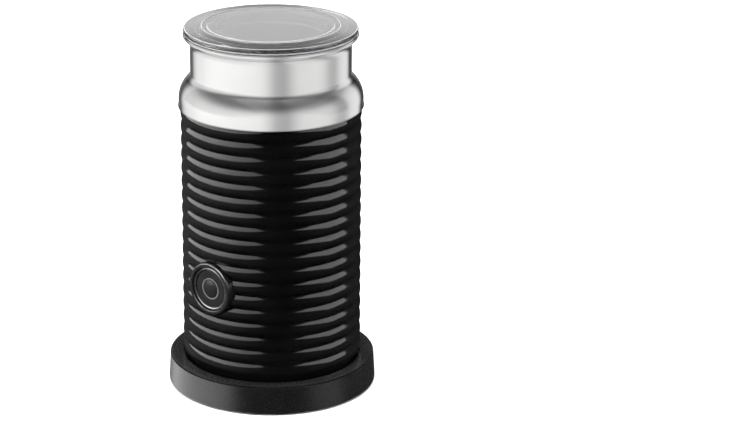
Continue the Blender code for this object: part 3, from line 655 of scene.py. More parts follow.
def make_base():
    outline = [
        (SEAM_R, BASE_TOP_Z, 0.22),
        (SEAM_R, BASE_TOP_Z - SEAM_DEPTH),
        (SEAM_R + SEAM_WIDTH, BASE_TOP_Z - SEAM_DEPTH),
        (SEAM_R + SEAM_WIDTH, SIDE_TOP_Z, 0.08),
        (BASE_TOP_R, SIDE_TOP_Z, 0.2),
        (BASE_R, BASE_BOTTOM_Z, 0.3),
        (BASE_R - BASE_WALL, BASE_BOTTOM_Z, 0.2),
        (BASE_TOP_R - BASE_WALL, BASE_TOP_Z - BASE_WALL),
        (RECESS_R + BASE_WALL, BASE_TOP_Z - BASE_WALL),
        (RECESS_R + BASE_WALL, RECESS_Z - BASE_WALL),
        (POST_R + GAP, RECESS_Z - BASE_WALL),
        (POST_R + GAP, RECESS_Z, 0.2),
        (RECESS_R, RECESS_Z, 0.5),
        (RECESS_R, BASE_TOP_Z, 0.5),
    ]
    gland_hole = (rod_mesh("gland_hole", GLAND_R + GAP, -6.0, 6.0), place(0.0, BASE_R, GLAND_Z, tilt=pi / 2))
    turned("base_shell", outline, "matt_black_plastic", tools=[gland_hole])

    plate = [
        (0.0, PLATE_TOP_Z),
        (PLATE_R, PLATE_TOP_Z),
        (PLATE_R, BASE_BOTTOM_Z, 0.3),
        (PLATE_GROOVE_R, BASE_BOTTOM_Z),
        (PLATE_GROOVE_R, BASE_BOTTOM_Z + GROOVE_DEPTH),
        (PLATE_GROOVE_R - GROOVE_WIDTH, BASE_BOTTOM_Z + GROOVE_DEPTH),
        (PLATE_GROOVE_R - GROOVE_WIDTH, BASE_BOTTOM_Z),
        (PLATE_PANEL_R, BASE_BOTTOM_Z, 0.1),
        (PLATE_PANEL_R, BASE_BOTTOM_Z + PLATE_PANEL_DEPTH, 0.1),
        (0.0, BASE_BOTTOM_Z + PLATE_PANEL_DEPTH),
    ]
    feet = around(4, FOOT_RING_R, 0.0, pi / 4)
    screws = around(3, BASE_SCREW_RING_R, BASE_SCREW_Z, pi / 2)
    foot_pocket = rod_mesh("foot_pocket", FOOT_R + GAP, -1.0, FOOT_TOP_Z + GAP)
    head_well = rod_mesh("head_well", SCREW_HEAD_R + GAP, -3.0, GAP)
    tools = [(foot_pocket, where) for where in feet] + [(head_well, where) for where in screws]
    turned("base_plate", plate, "matt_black_plastic", closed=False, tools=tools)
    foot = [
        (0.0, FOOT_TOP_Z),
        (FOOT_R, FOOT_TOP_Z),
        (FOOT_R, 0.0, 0.5),
        (FOOT_GROOVE_R, 0.0, 0.15),
        (FOOT_GROOVE_R - 0.2, FOOT_GROOVE_DEPTH, 0.1),
        (FOOT_PAD_R + 0.2, FOOT_GROOVE_DEPTH, 0.1),
        (FOOT_PAD_R, 0.0, 0.15),
        (0.0, 0.0),
    ]
    several("foot", turned_mesh("foot", foot, False, SMALL_FACETS), "black_rubber", feet)
    several("base_screw", screw_mesh("base_screw", BASE_SCREW_LENGTH), "plated_steel", screws)

    slot_outer = CONTACT_R + CONTACT_WALL / 2 + GAP
    slot_inner = CONTACT_R - CONTACT_WALL / 2 - GAP
    slot_z = POST_TOP_Z - CONTACT_SLOT_DEPTH
    post = [
        (0.0, POST_WELL_Z),
        (POST_WELL_R, POST_WELL_Z, 0.2),
        (POST_WELL_R, POST_TOP_Z, 0.4),
        (slot_inner, POST_TOP_Z, 0.25),
        (slot_inner, slot_z),
        (slot_outer, slot_z),
        (slot_outer, POST_TOP_Z, 0.25),
        (POST_R, POST_TOP_Z, 0.7),
        (POST_R, RECESS_Z - BASE_WALL - GAP),
        (POST_FLANGE_R, RECESS_Z - BASE_WALL - GAP, 0.2),
        (POST_FLANGE_R, POST_BOTTOM_Z, 0.2),
        (0.0, POST_BOTTOM_Z),
    ]
    turned("connector_post", post, "connector_plastic", closed=False)
    contact_top = POST_TOP_Z - 0.6
    half_wall = CONTACT_WALL / 2
    contact = ring(CONTACT_R + half_wall, CONTACT_R - half_wall, contact_top, slot_z + GAP, 0.15)
    turned("contact_ring", contact, "plated_contact")
    pin_top = POST_TOP_Z - 0.4
    pin_foot = POST_WELL_Z + GAP
    pin = [(0.0, pin_top), (PIN_R, pin_top, 0.8), (PIN_R, pin_foot, 0.1), (0.0, pin_foot)]
    turned("contact_pin", pin, "plated_contact", closed=False, facets=SMALL_FACETS)

    inner_y = RECESS_R + BASE_WALL + 2 * GAP
    flange = BASE_R - BASE_WALL - 0.9 - inner_y
    outside = BASE_R - 0.4 - inner_y
    gland = [
        (GLAND_R, outside, 0.4),
        (GLAND_R, flange + 2.2),
        (GLAND_R - 0.35, flange + 2.0),
        (GLAND_R - 0.35, flange + 1.4),
        (GLAND_R, flange + 1.2),
        (GLAND_R, flange),
        (GLAND_FLANGE_R, flange, 0.1),
        (GLAND_FLANGE_R, 0.0, 0.2),
        (GLAND_BORE_R, 0.0, 0.2),
        (GLAND_BORE_R, outside, 0.3),
    ]
    gland_place = place(0.0, inner_y, GLAND_Z, tilt=-pi / 2)
    turned("cord_gland", gland, "black_rubber", facets=SMALL_FACETS, where=gland_place)


def rib_points():
    """The scalloped side from the collar down: round crests that meet in sharp valleys."""
    half = RIB_PITCH / 2
    scallop_r = (half**2 + RIB_DEPTH**2) / (2 * RIB_DEPTH)
    top = RIB_FIRST_Z + RIB_PITCH * (RIB_COUNT - 0.5)
    points = []
    for step in range(RIB_COUNT * RIB_STEPS + 1):
        rise = RIB_PITCH * (step % RIB_STEPS) / RIB_STEPS - half
        bulge = sqrt(scallop_r**2 - rise**2) - scallop_r
        points.append((RIB_CREST_R + bulge, top - RIB_PITCH * step / RIB_STEPS))
    return points


def make_shell():
    side = rib_points()
    valley_r = side[0][0]
    outline = [
        (valley_r, SHELL_TOP_Z),
        *side,
        (valley_r - 0.1, SHELL_BOTTOM_Z, 0.5),
        (SHELL_INNER_R, SHELL_BOTTOM_Z, 0.2),
        (SHELL_INNER_R, SHELL_TOP_Z),
    ]
    button_hole = rod_mesh("button_hole", HOUSING_R + GAP, -12.0, 8.0, FACETS)
    turned("outer_shell", outline, "gloss_black_plastic", tools=[(button_hole, BUTTON_AXIS)])

    under = SHELL_BOTTOM_Z + GAP
    cover = [
        (COVER_R, COVER_WALL_TOP_Z),
        (COVER_R, under, 0.4),
        (COVER_GROOVE_R, under),
        (COVER_GROOVE_R, under + GROOVE_DEPTH),
        (COVER_GROOVE_R - GROOVE_WIDTH, under + GROOVE_DEPTH),
        (COVER_GROOVE_R - GROOVE_WIDTH, under),
        (COVER_PANEL_R, under, 0.1),
        (COVER_PANEL_R, under + COVER_PANEL_DEPTH, 0.1),
        (SOCKET_R + COVER_WALL, under + COVER_PANEL_DEPTH, 0.1),
        (SOCKET_R + COVER_WALL, under, 0.1),
        (SOCKET_R + GAP, under, 0.2),
        (SOCKET_R + GAP, COVER_TOP_Z),
        (COVER_R - COVER_WALL, COVER_TOP_Z, 0.5),
        (COVER_R - COVER_WALL, COVER_WALL_TOP_Z),
    ]
    screws = around(3, COVER_SCREW_RING_R, COVER_SCREW_Z, -pi / 2)
    head_well = rod_mesh("cover_well", SCREW_HEAD_R + GAP, -3.0, GAP)
    shank_hole = rod_mesh("cover_hole", SCREW_R + GAP, 0.0, 4.0)
    tools = [(mesh, where) for mesh in (head_well, shank_hole) for where in screws]
    turned("bottom_cover", cover, "moulded_black_plastic", tools=tools)
    several("cover_screw", screw_mesh("cover_screw", COVER_SCREW_LENGTH), "plated_steel", screws)
    socket = [
        (0.0, SOCKET_TOP_Z),
        (SOCKET_R, SOCKET_TOP_Z, 0.7),
        (SOCKET_R, under, 0.2),
        (SOCKET_BORE_R, under, 0.5),
        (SOCKET_BORE_R, SOCKET_ROOF_Z, 0.3),
        (CONTACT_R + SOCKET_TRACK, SOCKET_ROOF_Z),
        (CONTACT_R + SOCKET_TRACK, SOCKET_ROOF_Z + 0.4),
        (CONTACT_R - SOCKET_TRACK, SOCKET_ROOF_Z + 0.4),
        (CONTACT_R - SOCKET_TRACK, SOCKET_ROOF_Z),
        (SOCKET_DIMPLE_R, SOCKET_ROOF_Z),
        (SOCKET_DIMPLE_R, SOCKET_ROOF_Z + 0.5),
        (0.0, SOCKET_ROOF_Z + 0.5),
    ]
    turned("jug_socket", socket, "connector_plastic", closed=False)


def make_collar_and_pot():
    turn_in = 1 - cos(radians(SHOULDER_DEGREES))
    fillet_r = (COLLAR_SKIRT_R - SHOULDER_ARC_R * turn_in - WAIST_R) / turn_in
    fillet_z = SHOULDER_Z + (SHOULDER_ARC_R + fillet_r) * sin(radians(SHOULDER_DEGREES))
    shoulder_x = COLLAR_SKIRT_R - SHOULDER_ARC_R
    collar = [
        (LIP_R, LIP_Z),
        (LIP_R - 0.02, LIP_Z - 0.6),
        *arc(WAIST_R + FLARE_ARC_R, WAIST_TOP_Z, FLARE_ARC_R, 180 - FLARE_DEGREES, 180, 12),
        *arc(WAIST_R + fillet_r, fillet_z, fillet_r, 180, 180 + SHOULDER_DEGREES, 14),
        *arc(shoulder_x, SHOULDER_Z, SHOULDER_ARC_R, SHOULDER_DEGREES, 0, 22)[1:],
        (COLLAR_SKIRT_R, COLLAR_BOTTOM_Z + 1.2),
        (COLLAR_SKIRT_R - 0.03, COLLAR_BOTTOM_Z),
    ]
    turned("steel_collar", sheet_outline(collar, -COLLAR_SHEET), "satin_steel")

    marks = []
    for z in sorted(POT_MARKS_Z, reverse=True):
        crest = POT_R - POT_MARK_H
        marks += [(POT_R, z + 0.9), (crest, z + 0.4), (crest, z - 0.4), (POT_R, z - 0.9)]
    pot = [
        (POT_LIP_R, POT_LIP_Z),
        *arc(POT_R + POT_MOUTH_ARC_R, POT_LIP_Z - POT_MOUTH_ARC_R, POT_MOUTH_ARC_R, 90, 180, 20),
        *marks,
        *arc(POT_R - POT_CORNER_R, POT_FLOOR_Z + POT_CORNER_R, POT_CORNER_R, 0, -90, 20),
        (9.0, POT_FLOOR_Z),
        (0.0, POT_FLOOR_Z),
        (0.0, POT_FLOOR_Z - POT_SHEET),
        *arc(POT_R - POT_CORNER_R, POT_FLOOR_Z + POT_CORNER_R, POT_CORNER_R + POT_SHEET, -90, 0, 20),
        *arc(POT_R + POT_MOUTH_ARC_R, POT_LIP_Z - POT_MOUTH_ARC_R, POT_MOUTH_ARC_R - POT_SHEET, 180, 90, 20),
        (POT_LIP_R, POT_LIP_Z - POT_SHEET),
    ]
    turned("inner_pot", pot[6:] + pot[:6], "pot_coating")
    gasket_z = SHELL_TOP_Z + GAP
    gasket = ring(GASKET_R, POT_R + POT_SHEET + GAP, gasket_z + GASKET_H, gasket_z, 0.5)
    turned("pot_gasket", gasket, "black_rubber")


def make_lid():
    lid = [
        (0.0, LID_TOP_Z),
        (LID_GROOVE_R - LID_LINE_WIDTH, LID_TOP_Z, 0.1),
        (LID_GROOVE_R, LID_TOP_Z - LID_GROOVE, 0.1),
        (LID_FLAT_R - 2 * LID_LINE_WIDTH, LID_TOP_Z - LID_GROOVE, 0.1),
        (LID_FLAT_R - LID_LINE_WIDTH, LID_TOP_Z, 0.1),
        (LID_FLAT_R, LID_TOP_Z, 0.3),
        (LID_R - 0.4, LID_TOP_Z - LID_EDGE_DROP, 0.5),
        (LID_R, LID_TOP_Z - LID_EDGE_DROP - 0.9, 0.8),
        (LID_R - 0.8, LID_RIM_BOTTOM_Z, 0.5),
        (LID_RIM_INNER_R, LID_RIM_BOTTOM_Z, 0.4),
        (LID_RIM_INNER_R - 0.6, LID_UNDER_Z, 0.5),
        (SKIRT_R, LID_UNDER_Z, 0.5),
        (SKIRT_R, SKIRT_BOTTOM_Z, 0.6),
        (SKIRT_INNER_R, SKIRT_BOTTOM_Z, 0.6),
        (SKIRT_INNER_R, LID_UNDER_Z, 0.5),
        (DRIP_R, LID_UNDER_Z, 0.4),
        (DRIP_R, DRIP_BOTTOM_Z, 0.3),
        (DRIP_R - DRIP_WALL, DRIP_BOTTOM_Z, 0.3),
        (DRIP_R - DRIP_WALL, LID_UNDER_Z, 0.4),
        (0.0, LID_UNDER_Z),
    ]
    turned("lid_disc", lid, "clear_plastic", closed=False)
    seal_middle = (SEAL_TOP_Z + SEAL_BOTTOM_Z) / 2
    seal = [
        (SKIRT_R + GAP, SEAL_TOP_Z),
        (SEAL_R, SEAL_TOP_Z, 0.35),
        (SEAL_R - 0.1, seal_middle + 0.25, 0.1),
        (SEAL_R - 0.7, seal_middle, 0.2),
        (SEAL_R - 0.1, seal_middle - 0.25, 0.1),
        (SEAL_R, SEAL_BOTTOM_Z, 0.35),
        (SKIRT_R + GAP, SEAL_BOTTOM_Z),
    ]
    turned("lid_seal", seal, "grey_silicone")


def make_button():
    housing = [
        (HOUSING_R, HOUSING_PROUD, 1.0),
        (HOUSING_R, -HOUSING_DEPTH),
        (CAP_R + 0.6, -HOUSING_DEPTH),
        (CAP_R + 0.6, -BEZEL_DEPTH - GAP),
        (BEZEL_R + GAP, -BEZEL_DEPTH - GAP),
        (BEZEL_R + GAP, 0.1),
        (BEZEL_R + GAP + 0.3, HOUSING_PROUD, 0.3),
    ]
    turned("button_housing", housing, "housing_plastic", where=BUTTON_AXIS)
    bezel = [
        (BEZEL_R, 0.0, 0.44),
        (BEZEL_R, -BEZEL_DEPTH),
        (BEZEL_R - BEZEL_WALL, -BEZEL_DEPTH),
        (BEZEL_R - BEZEL_WALL, 0.0, 0.44),
    ]
    turned("bezel_ring", bezel, "dark_chrome", where=BUTTON_AXIS)
    ball_r = (DOME_R**2 + DOME_RISE**2) / (2 * DOME_RISE)
    dome = []
    for i in range(DOME_STEPS + 1):
        out = DOME_R * i / DOME_STEPS
        dome.append((out, -CAP_FACE + DOME_RISE - ball_r + sqrt(ball_r**2 - out**2)))
    indicator_inner = INDICATOR_R - INDICATOR_WALL
    groove_z = -CAP_FACE - INDICATOR_DEPTH - GAP
    lip_z = -CAP_FACE - INDICATOR_LIP
    cap = [
        *dome,
        (indicator_inner + CAP_LIP, -CAP_FACE, 0.06),
        (indicator_inner + CAP_LIP, lip_z),
        (indicator_inner - CAP_UNDERCUT, lip_z),
        (indicator_inner - CAP_UNDERCUT, groove_z),
        (INDICATOR_R + CAP_UNDERCUT, groove_z),
        (INDICATOR_R + CAP_UNDERCUT, lip_z),
        (INDICATOR_R - CAP_LIP, lip_z),
        (INDICATOR_R - CAP_LIP, -CAP_FACE, 0.06),
        (CAP_R, -CAP_FACE, 0.35),
        (CAP_R, -CAP_BACK),
        (STEM_R, -CAP_BACK),
        (STEM_R, -STEM_BACK, 0.2),
        (0.0, -STEM_BACK),
    ]
    turned("button_cap", cap, "button_plastic", closed=False, where=BUTTON_AXIS)
    indicator = [
        (INDICATOR_R - INDICATOR_STEP, -CAP_FACE + 0.1, 0.1),
        (INDICATOR_R - INDICATOR_STEP, lip_z - 0.1),
        (INDICATOR_R, lip_z - 0.1),
        (INDICATOR_R, -CAP_FACE - INDICATOR_DEPTH, 0.1),
        (indicator_inner, -CAP_FACE - INDICATOR_DEPTH, 0.1),
        (indicator_inner, lip_z - 0.1),
        (indicator_inner + INDICATOR_STEP, lip_z - 0.1),
        (indicator_inner + INDICATOR_STEP, -CAP_FACE + 0.1, 0.1),
    ]
    turned("indicator_ring", indicator, "light_guide", where=BUTTON_AXIS)
    plunger = disc(PLUNGER_R, -STEM_BACK - GAP, -PLUNGER_BACK, 0.2)
    turned("switch_plunger", plunger, "white_nylon", closed=False, facets=SMALL_FACETS, where=BUTTON_AXIS)


def make_drive():
    heater = ring(HEATER_R, HEATER_BORE_R, HEATER_TOP_Z, HEATER_TOP_Z - HEATER_H, 0.3)
    turned("heater_ring", heater, "heater_enamel")
    fuse_z = HEATER_TOP_Z - HEATER_H - GAP - FUSE_R
    fuse = disc(FUSE_R, FUSE_LENGTH, 0.0, 0.5)
    fuse_place = place(FUSE_OUT, FUSE_LENGTH / 2, fuse_z, tilt=pi / 2)
    turned("thermal_fuse", fuse, "plated_steel", closed=False, facets=SMALL_FACETS, where=fuse_place)
    bore = SHAFT_R + GAP
    can = [
        (0.0, SHAFT_BOTTOM_Z - GAP),
        (bore, SHAFT_BOTTOM_Z - GAP),
        (bore, MOTOR_TOP_Z),
        (MOTOR_R, MOTOR_TOP_Z, 1.0),
        (MOTOR_R, MOTOR_TOP_Z - MOTOR_GROOVE_DOWN),
        (MOTOR_R - 0.3, MOTOR_TOP_Z - MOTOR_GROOVE_DOWN - 0.2),
        (MOTOR_R - 0.3, MOTOR_TOP_Z - MOTOR_GROOVE_DOWN - 0.8),
        (MOTOR_R, MOTOR_TOP_Z - MOTOR_GROOVE_DOWN - 1.0),
        (MOTOR_R, MOTOR_BOTTOM_Z, 1.0),
        (MOTOR_DIMPLE_R, MOTOR_BOTTOM_Z, 0.2),
        (MOTOR_DIMPLE_R, MOTOR_BOTTOM_Z + 0.6, 0.2),
        (0.0, MOTOR_BOTTOM_Z + 0.6),
    ]
    turned("motor_can", can, "plated_steel", closed=False)
    plate_z = MOTOR_TOP_Z + GAP
    plate = ring(MOTOR_PLATE_R, MOTOR_PLATE_BORE_R, plate_z + MOTOR_PLATE_H, plate_z, 0.3)
    turned("motor_plate", plate, "white_nylon")
    shaft = disc(SHAFT_R, CARRIER_TOP_Z, SHAFT_BOTTOM_Z, 0.2)
    turned("motor_shaft", shaft, "satin_steel", closed=False, facets=SMALL_FACETS)
    carrier = ring(CARRIER_R, SHAFT_R + GAP, CARRIER_TOP_Z, CARRIER_Z, 0.4)
    turned("magnet_carrier", carrier, "white_nylon")
    drive_magnet = turned_mesh("magnet", disc(MAGNET_R, MAGNET_H, 0.0, 0.25), False, SMALL_FACETS)
    several("drive_magnet", drive_magnet, "magnet", around(2, MAGNET_OUT, CARRIER_TOP_Z + GAP))


def coil_mesh():
    """A wire wound round a ring, as a mesh."""
    wire = bpy.data.curves.new("coil", "CURVE")
    wire.dimensions = "3D"
    wire.bevel_depth = COIL_WIRE_R * MM
    wire.bevel_resolution = 3
    steps = COIL_TURNS * COIL_TURN_POINTS
    path = wire.splines.new("POLY")
    path.points.add(steps - 1)
    path.use_cyclic_u = True
    for step, point in enumerate(path.points):
        around_ring = 2 * pi * step / steps
        around_wire = 2 * pi * step / COIL_TURN_POINTS
        out = COIL_RING_R + COIL_R * cos(around_wire)
        height = COIL_Z + COIL_R * sin(around_wire)
        point.co = (out * cos(around_ring) * MM, out * sin(around_ring) * MM, height * MM, 1.0)
    obj = bpy.data.objects.new("coil", wire)
    bpy.context.scene.collection.objects.link(obj)
    bpy.context.view_layer.update()
    mesh = bpy.data.meshes.new_from_object(obj.evaluated_get(bpy.context.evaluated_depsgraph_get()))
    bpy.data.objects.remove(obj)
    return mesh


def make_whisk():
    foot_z = POT_FLOOR_Z + GAP
    spindle = [
        (0.0, SPINDLE_TOP_Z),
        (SPINDLE_R, SPINDLE_TOP_Z, 0.6),
        (SPINDLE_R, foot_z + 1.0, 0.4),
        (SPINDLE_FOOT_R, foot_z + 1.0, 0.4),
        (SPINDLE_FOOT_R, foot_z),
        (0.0, foot_z),
    ]
    turned("whisk_spindle", spindle, "satin_steel", closed=False, facets=SMALL_FACETS)
    bush = [
        (0.0, BUSH_TOP_Z),
        (BUSH_R, BUSH_TOP_Z, 0.3),
        (BUSH_R, BUSH_Z, 0.2),
        (SPINDLE_R + GAP, BUSH_Z, 0.2),
        (SPINDLE_R + GAP, SPINDLE_TOP_Z + GAP),
        (0.0, SPINDLE_TOP_Z + GAP),
    ]
    turned("whisk_bush", bush, "white_nylon", closed=False, facets=SMALL_FACETS)
    hub = [
        (0.0, HUB_TOP_Z),
        (HUB_STEM_R, HUB_TOP_Z, 1.4),
        (HUB_STEM_R, HUB_TOP_Z - 3.6, 1.0),
        (HUB_WAIST_R, HUB_TOP_Z - 6.0, 1.2),
        (HUB_WAIST_R + 0.4, HUB_DISC_TOP_Z + 1.2, 0.8),
        (HUB_STEM_R + 1.2, HUB_DISC_TOP_Z, 0.6),
        (HUB_R, HUB_DISC_TOP_Z, 0.8),
        (HUB_R, HUB_Z, 0.6),
        (BUSH_R + GAP, HUB_Z, 0.2),
        (BUSH_R + GAP, BUSH_TOP_Z + GAP),
        (0.0, BUSH_TOP_Z + GAP),
    ]
    magnets = around(2, MAGNET_OUT, HUB_Z + GAP)
    pocket = rod_mesh("magnet_pocket", WHISK_MAGNET_R + GAP, -1.0, MAGNET_H + GAP)
    turned("whisk_hub", hub, "whisk_plastic", closed=False, tools=[(pocket, where) for where in magnets])
    whisk_magnet = turned_mesh("whisk_magnet", disc(WHISK_MAGNET_R, MAGNET_H, 0.0, 0.2), False, SMALL_FACETS)
    several("whisk_magnet", whisk_magnet, "magnet", magnets)
    piece("whisk_coil", coil_mesh(), "satin_steel")


# The stage


def glowing(name, points, faces, strengths, colour, see_through=False):
    """A stage surface whose glow is given at each point."""
    mesh = bpy.data.meshes.new(name)
    mesh.from_pydata(points, [], faces)
    mesh.attributes.new("radiance", "FLOAT", "POINT").data.foreach_set("value", strengths)
    look = bpy.data.materials.new(name)
    look.use_nodes = True
    tree = look.node_tree
    tree.nodes.remove(tree.nodes["Principled BSDF"])
    glow = node_of(tree, "ShaderNodeEmission", {"Color": (*colour, 1.0)})
    strength = node_of(tree, "ShaderNodeAttribute", attribute_name="radiance")
    tree.links.new(strength.outputs["Fac"], glow.inputs["Strength"])
    shown = glow.outputs["Emission"]
    if see_through:
        clear = node_of(tree, "ShaderNodeBsdfTransparent")
        both = node_of(tree, "ShaderNodeAddShader")
        tree.links.new(glow.outputs["Emission"], both.inputs[0])
        tree.links.new(clear.outputs["BSDF"], both.inputs[1])
        shown = both.outputs["Shader"]
    tree.links.new(shown, tree.nodes["Material Output"].inputs["Surface"])
    mesh.materials.append(look)
    obj = bpy.data.objects.new(name, mesh)
    bpy.context.scene.collection.objects.link(obj)
    obj.visible_camera = False
    return obj


def panel(name, stops, colour):
    """A curved light panel round the object.

    A stop is a bearing, the panel's lower and upper elevation there, and its radiance.
    """
    columns = []
    for (b0, l0, u0, r0), (b1, l1, u1, r1) in zip(stops, stops[1:]):
        steps = max(1, round((b1 - b0) / PANEL_STEP))
        for i in range(steps):
            t = i / steps
            columns.append((b0 + (b1 - b0) * t, l0 + (l1 - l0) * t, u0 + (u1 - u0) * t, r0 + (r1 - r0) * t))
    columns.append(stops[-1])
    points = []
    strengths = []
    for bearing, low, high, radiance in columns:
        angle = radians(CAMERA_AZIMUTH + bearing)
        for elevation in (low, high):
            z = PANEL_EYE_Z + PANEL_R * tan(radians(elevation))
            points.append((PANEL_R * sin(angle), -PANEL_R * cos(angle), z))
            strengths.append(radiance)
    faces = [(2 * i, 2 * i + 2, 2 * i + 3, 2 * i + 1) for i in range(len(columns) - 1)]
    return glowing(name, points, faces, strengths, colour)


def between(stops, value):
    """Reads a straight-line graph through (value, height) stops."""
    for (a, at_a), (b, at_b) in zip(stops, stops[1:]):
        if value <= b:
            return at_a + (at_b - at_a) * (value - a) / (b - a)
    return stops[-1][1]


def glow(name, radius, round_stops, up_stops):
    """A dome of light for chosen pieces to reflect. Its radiance is the two graphs multiplied."""
    bearings = [-180.0 + PANEL_STEP * i for i in range(round(360 / PANEL_STEP))]
    rows = round((GLOW_HIGHEST - GLOW_LOWEST) / PANEL_STEP) + 1
    elevations = [GLOW_LOWEST + PANEL_STEP * i for i in range(rows)]
    points = []
    strengths = []
    for elevation in elevations:
        for bearing in bearings:
            angle = radians(CAMERA_AZIMUTH + bearing)
            out = radius * cos(radians(elevation))
            rise = GLOW_EYE_Z + radius * sin(radians(elevation))
            points.append((out * sin(angle), -out * cos(angle), rise))
            strengths.append(between(round_stops, bearing) * between(up_stops, elevation))
    count = len(bearings)
    faces = []
    for row in range(rows - 1):
        for i in range(count):
            after = (i + 1) % count
            face = (row * count + i, row * count + after, (row + 1) * count + after, (row + 1) * count + i)
            if any(strengths[corner] > 0.0 for corner in face):
                faces.append(face)
    dome = glowing(name, points, faces, strengths, WHITE, see_through=True)
    dome.visible_diffuse = False
    dome.visible_shadow = False
    dome.data.materials[0].cycles.emission_sampling = "NONE"
    return dome


def light_only(lights, collection_name, pieces, state="INCLUDE"):
    """Makes lights reach only these pieces, or, with EXCLUDE, everything but them."""
    linked = bpy.data.collections.new(collection_name)
    for obj in pieces:
        linked.objects.link(obj)
    for item in linked.collection_objects:
        item.light_linking.link_state = state
    for light in lights:
        light.light_linking.receiver_collection = linked


def make_floor():
    corners = [(0.0, 0.0), (FLOOR_R, 0.0), (FLOOR_R, -FLOOR_DEPTH), (0.0, -FLOOR_DEPTH)]
    mesh = turned_mesh("floor", corners, False, SMALL_FACETS)
    look, _ = surface(
        "floor", (0.80, 0.80, 0.80), (0.84, 0.84, 0.84), 0.7, 0.8, patch=3.0, grain=40.0, relief=0.00001
    )
    mesh.materials.append(look)
    floor = bpy.data.objects.new("floor", mesh)
    bpy.context.scene.collection.objects.link(floor)
    floor.visible_glossy = False


def make_world():
    """White to the camera, a soft fill on matt surfaces, and dark with a little side glow in reflections."""
    world = bpy.data.worlds.new("studio")
    bpy.context.scene.world = world
    world.use_nodes = True
    tree = world.node_tree
    tree.nodes.clear()
    out = node_of(tree, "ShaderNodeOutputWorld")
    rays = node_of(tree, "ShaderNodeLightPath")
    direction = node_of(tree, "ShaderNodeTexCoord")
    left = Vector((-cos(radians(CAMERA_AZIMUTH)), -sin(radians(CAMERA_AZIMUTH)), 0.0))
    leftness = node_of(tree, "ShaderNodeVectorMath", operation="DOT_PRODUCT")
    leftness.inputs[1].default_value = left
    tree.links.new(direction.outputs["Generated"], leftness.inputs[0])
    sides = node_of(tree, "ShaderNodeFloatCurve")
    curve = sides.mapping.curves[0]
    curve.points[0].location = (0.0, SIDE_GLOW_RIGHT)
    curve.points[1].location = (1.0, SIDE_GLOW_LEFT)
    curve.points.new(0.5, SIDE_GLOW_MIDDLE)
    sides.mapping.update()
    half = node_of(tree, "ShaderNodeMapRange", {"From Min": -1.0, "From Max": 1.0})
    tree.links.new(leftness.outputs["Value"], half.inputs["Value"])
    tree.links.new(half.outputs["Result"], sides.inputs["Value"])
    white = (*WHITE, 1.0)
    reflected = node_of(tree, "ShaderNodeBackground", {"Color": white})
    height = node_of(tree, "ShaderNodeSeparateXYZ")
    tree.links.new(direction.outputs["Generated"], height.inputs["Vector"])
    above_floor = node_of(tree, "ShaderNodeMapRange", {"From Min": WORLD_DARK_Z, "From Max": WORLD_LIT_Z})
    tree.links.new(height.outputs["Z"], above_floor.inputs["Value"])
    glossy_strength = math_of(tree, "MULTIPLY", sides.outputs["Value"], above_floor.outputs["Result"])
    tree.links.new(glossy_strength, reflected.inputs["Strength"])
    fill = node_of(tree, "ShaderNodeBackground", {"Color": white, "Strength": FILL})
    backdrop = node_of(tree, "ShaderNodeBackground", {"Color": white, "Strength": 1.0})
    matt_or_reflected = node_of(tree, "ShaderNodeMixShader")
    tree.links.new(rays.outputs["Is Glossy Ray"], matt_or_reflected.inputs["Fac"])
    tree.links.new(fill.outputs["Background"], matt_or_reflected.inputs[1])
    tree.links.new(reflected.outputs["Background"], matt_or_reflected.inputs[2])
    seen = node_of(tree, "ShaderNodeMixShader")
    tree.links.new(rays.outputs["Is Camera Ray"], seen.inputs["Fac"])
    tree.links.new(matt_or_reflected.outputs["Shader"], seen.inputs[1])
    tree.links.new(backdrop.outputs["Background"], seen.inputs[2])
    tree.links.new(seen.outputs["Shader"], out.inputs["Surface"])


def overhead(name, size, watts):
    light = bpy.data.lights.new(name, "AREA")
    light.shape = "SQUARE"
    light.size = size
    light.energy = watts
    obj = bpy.data.objects.new(name, light)
    bpy.context.scene.collection.objects.link(obj)
    obj.location = (0.0, 0.0, OVERHEAD_Z)
    obj.visible_glossy = False
    obj.visible_transmission = False
    return obj


def make_camera():
    camera = bpy.data.cameras.new("camera")
    camera.lens = CAMERA_LENS
    camera.shift_x = CAMERA_SHIFT
    camera.clip_start = 0.05
    obj = bpy.data.objects.new("camera", camera)
    bpy.context.scene.collection.objects.link(obj)
    azimuth = radians(CAMERA_AZIMUTH)
    obj.location = (CAMERA_DISTANCE * sin(azimuth), -CAMERA_DISTANCE * cos(azimuth), CAMERA_HEIGHT)
    level = Matrix.Rotation(azimuth, 4, "Z") @ Matrix.Rotation(pi / 2 - radians(CAMERA_PITCH), 4, "X")
    obj.rotation_euler = (level @ Matrix.Rotation(-radians(CAMERA_ROLL), 4, "Z")).to_euler()
    bpy.context.scene.camera = obj


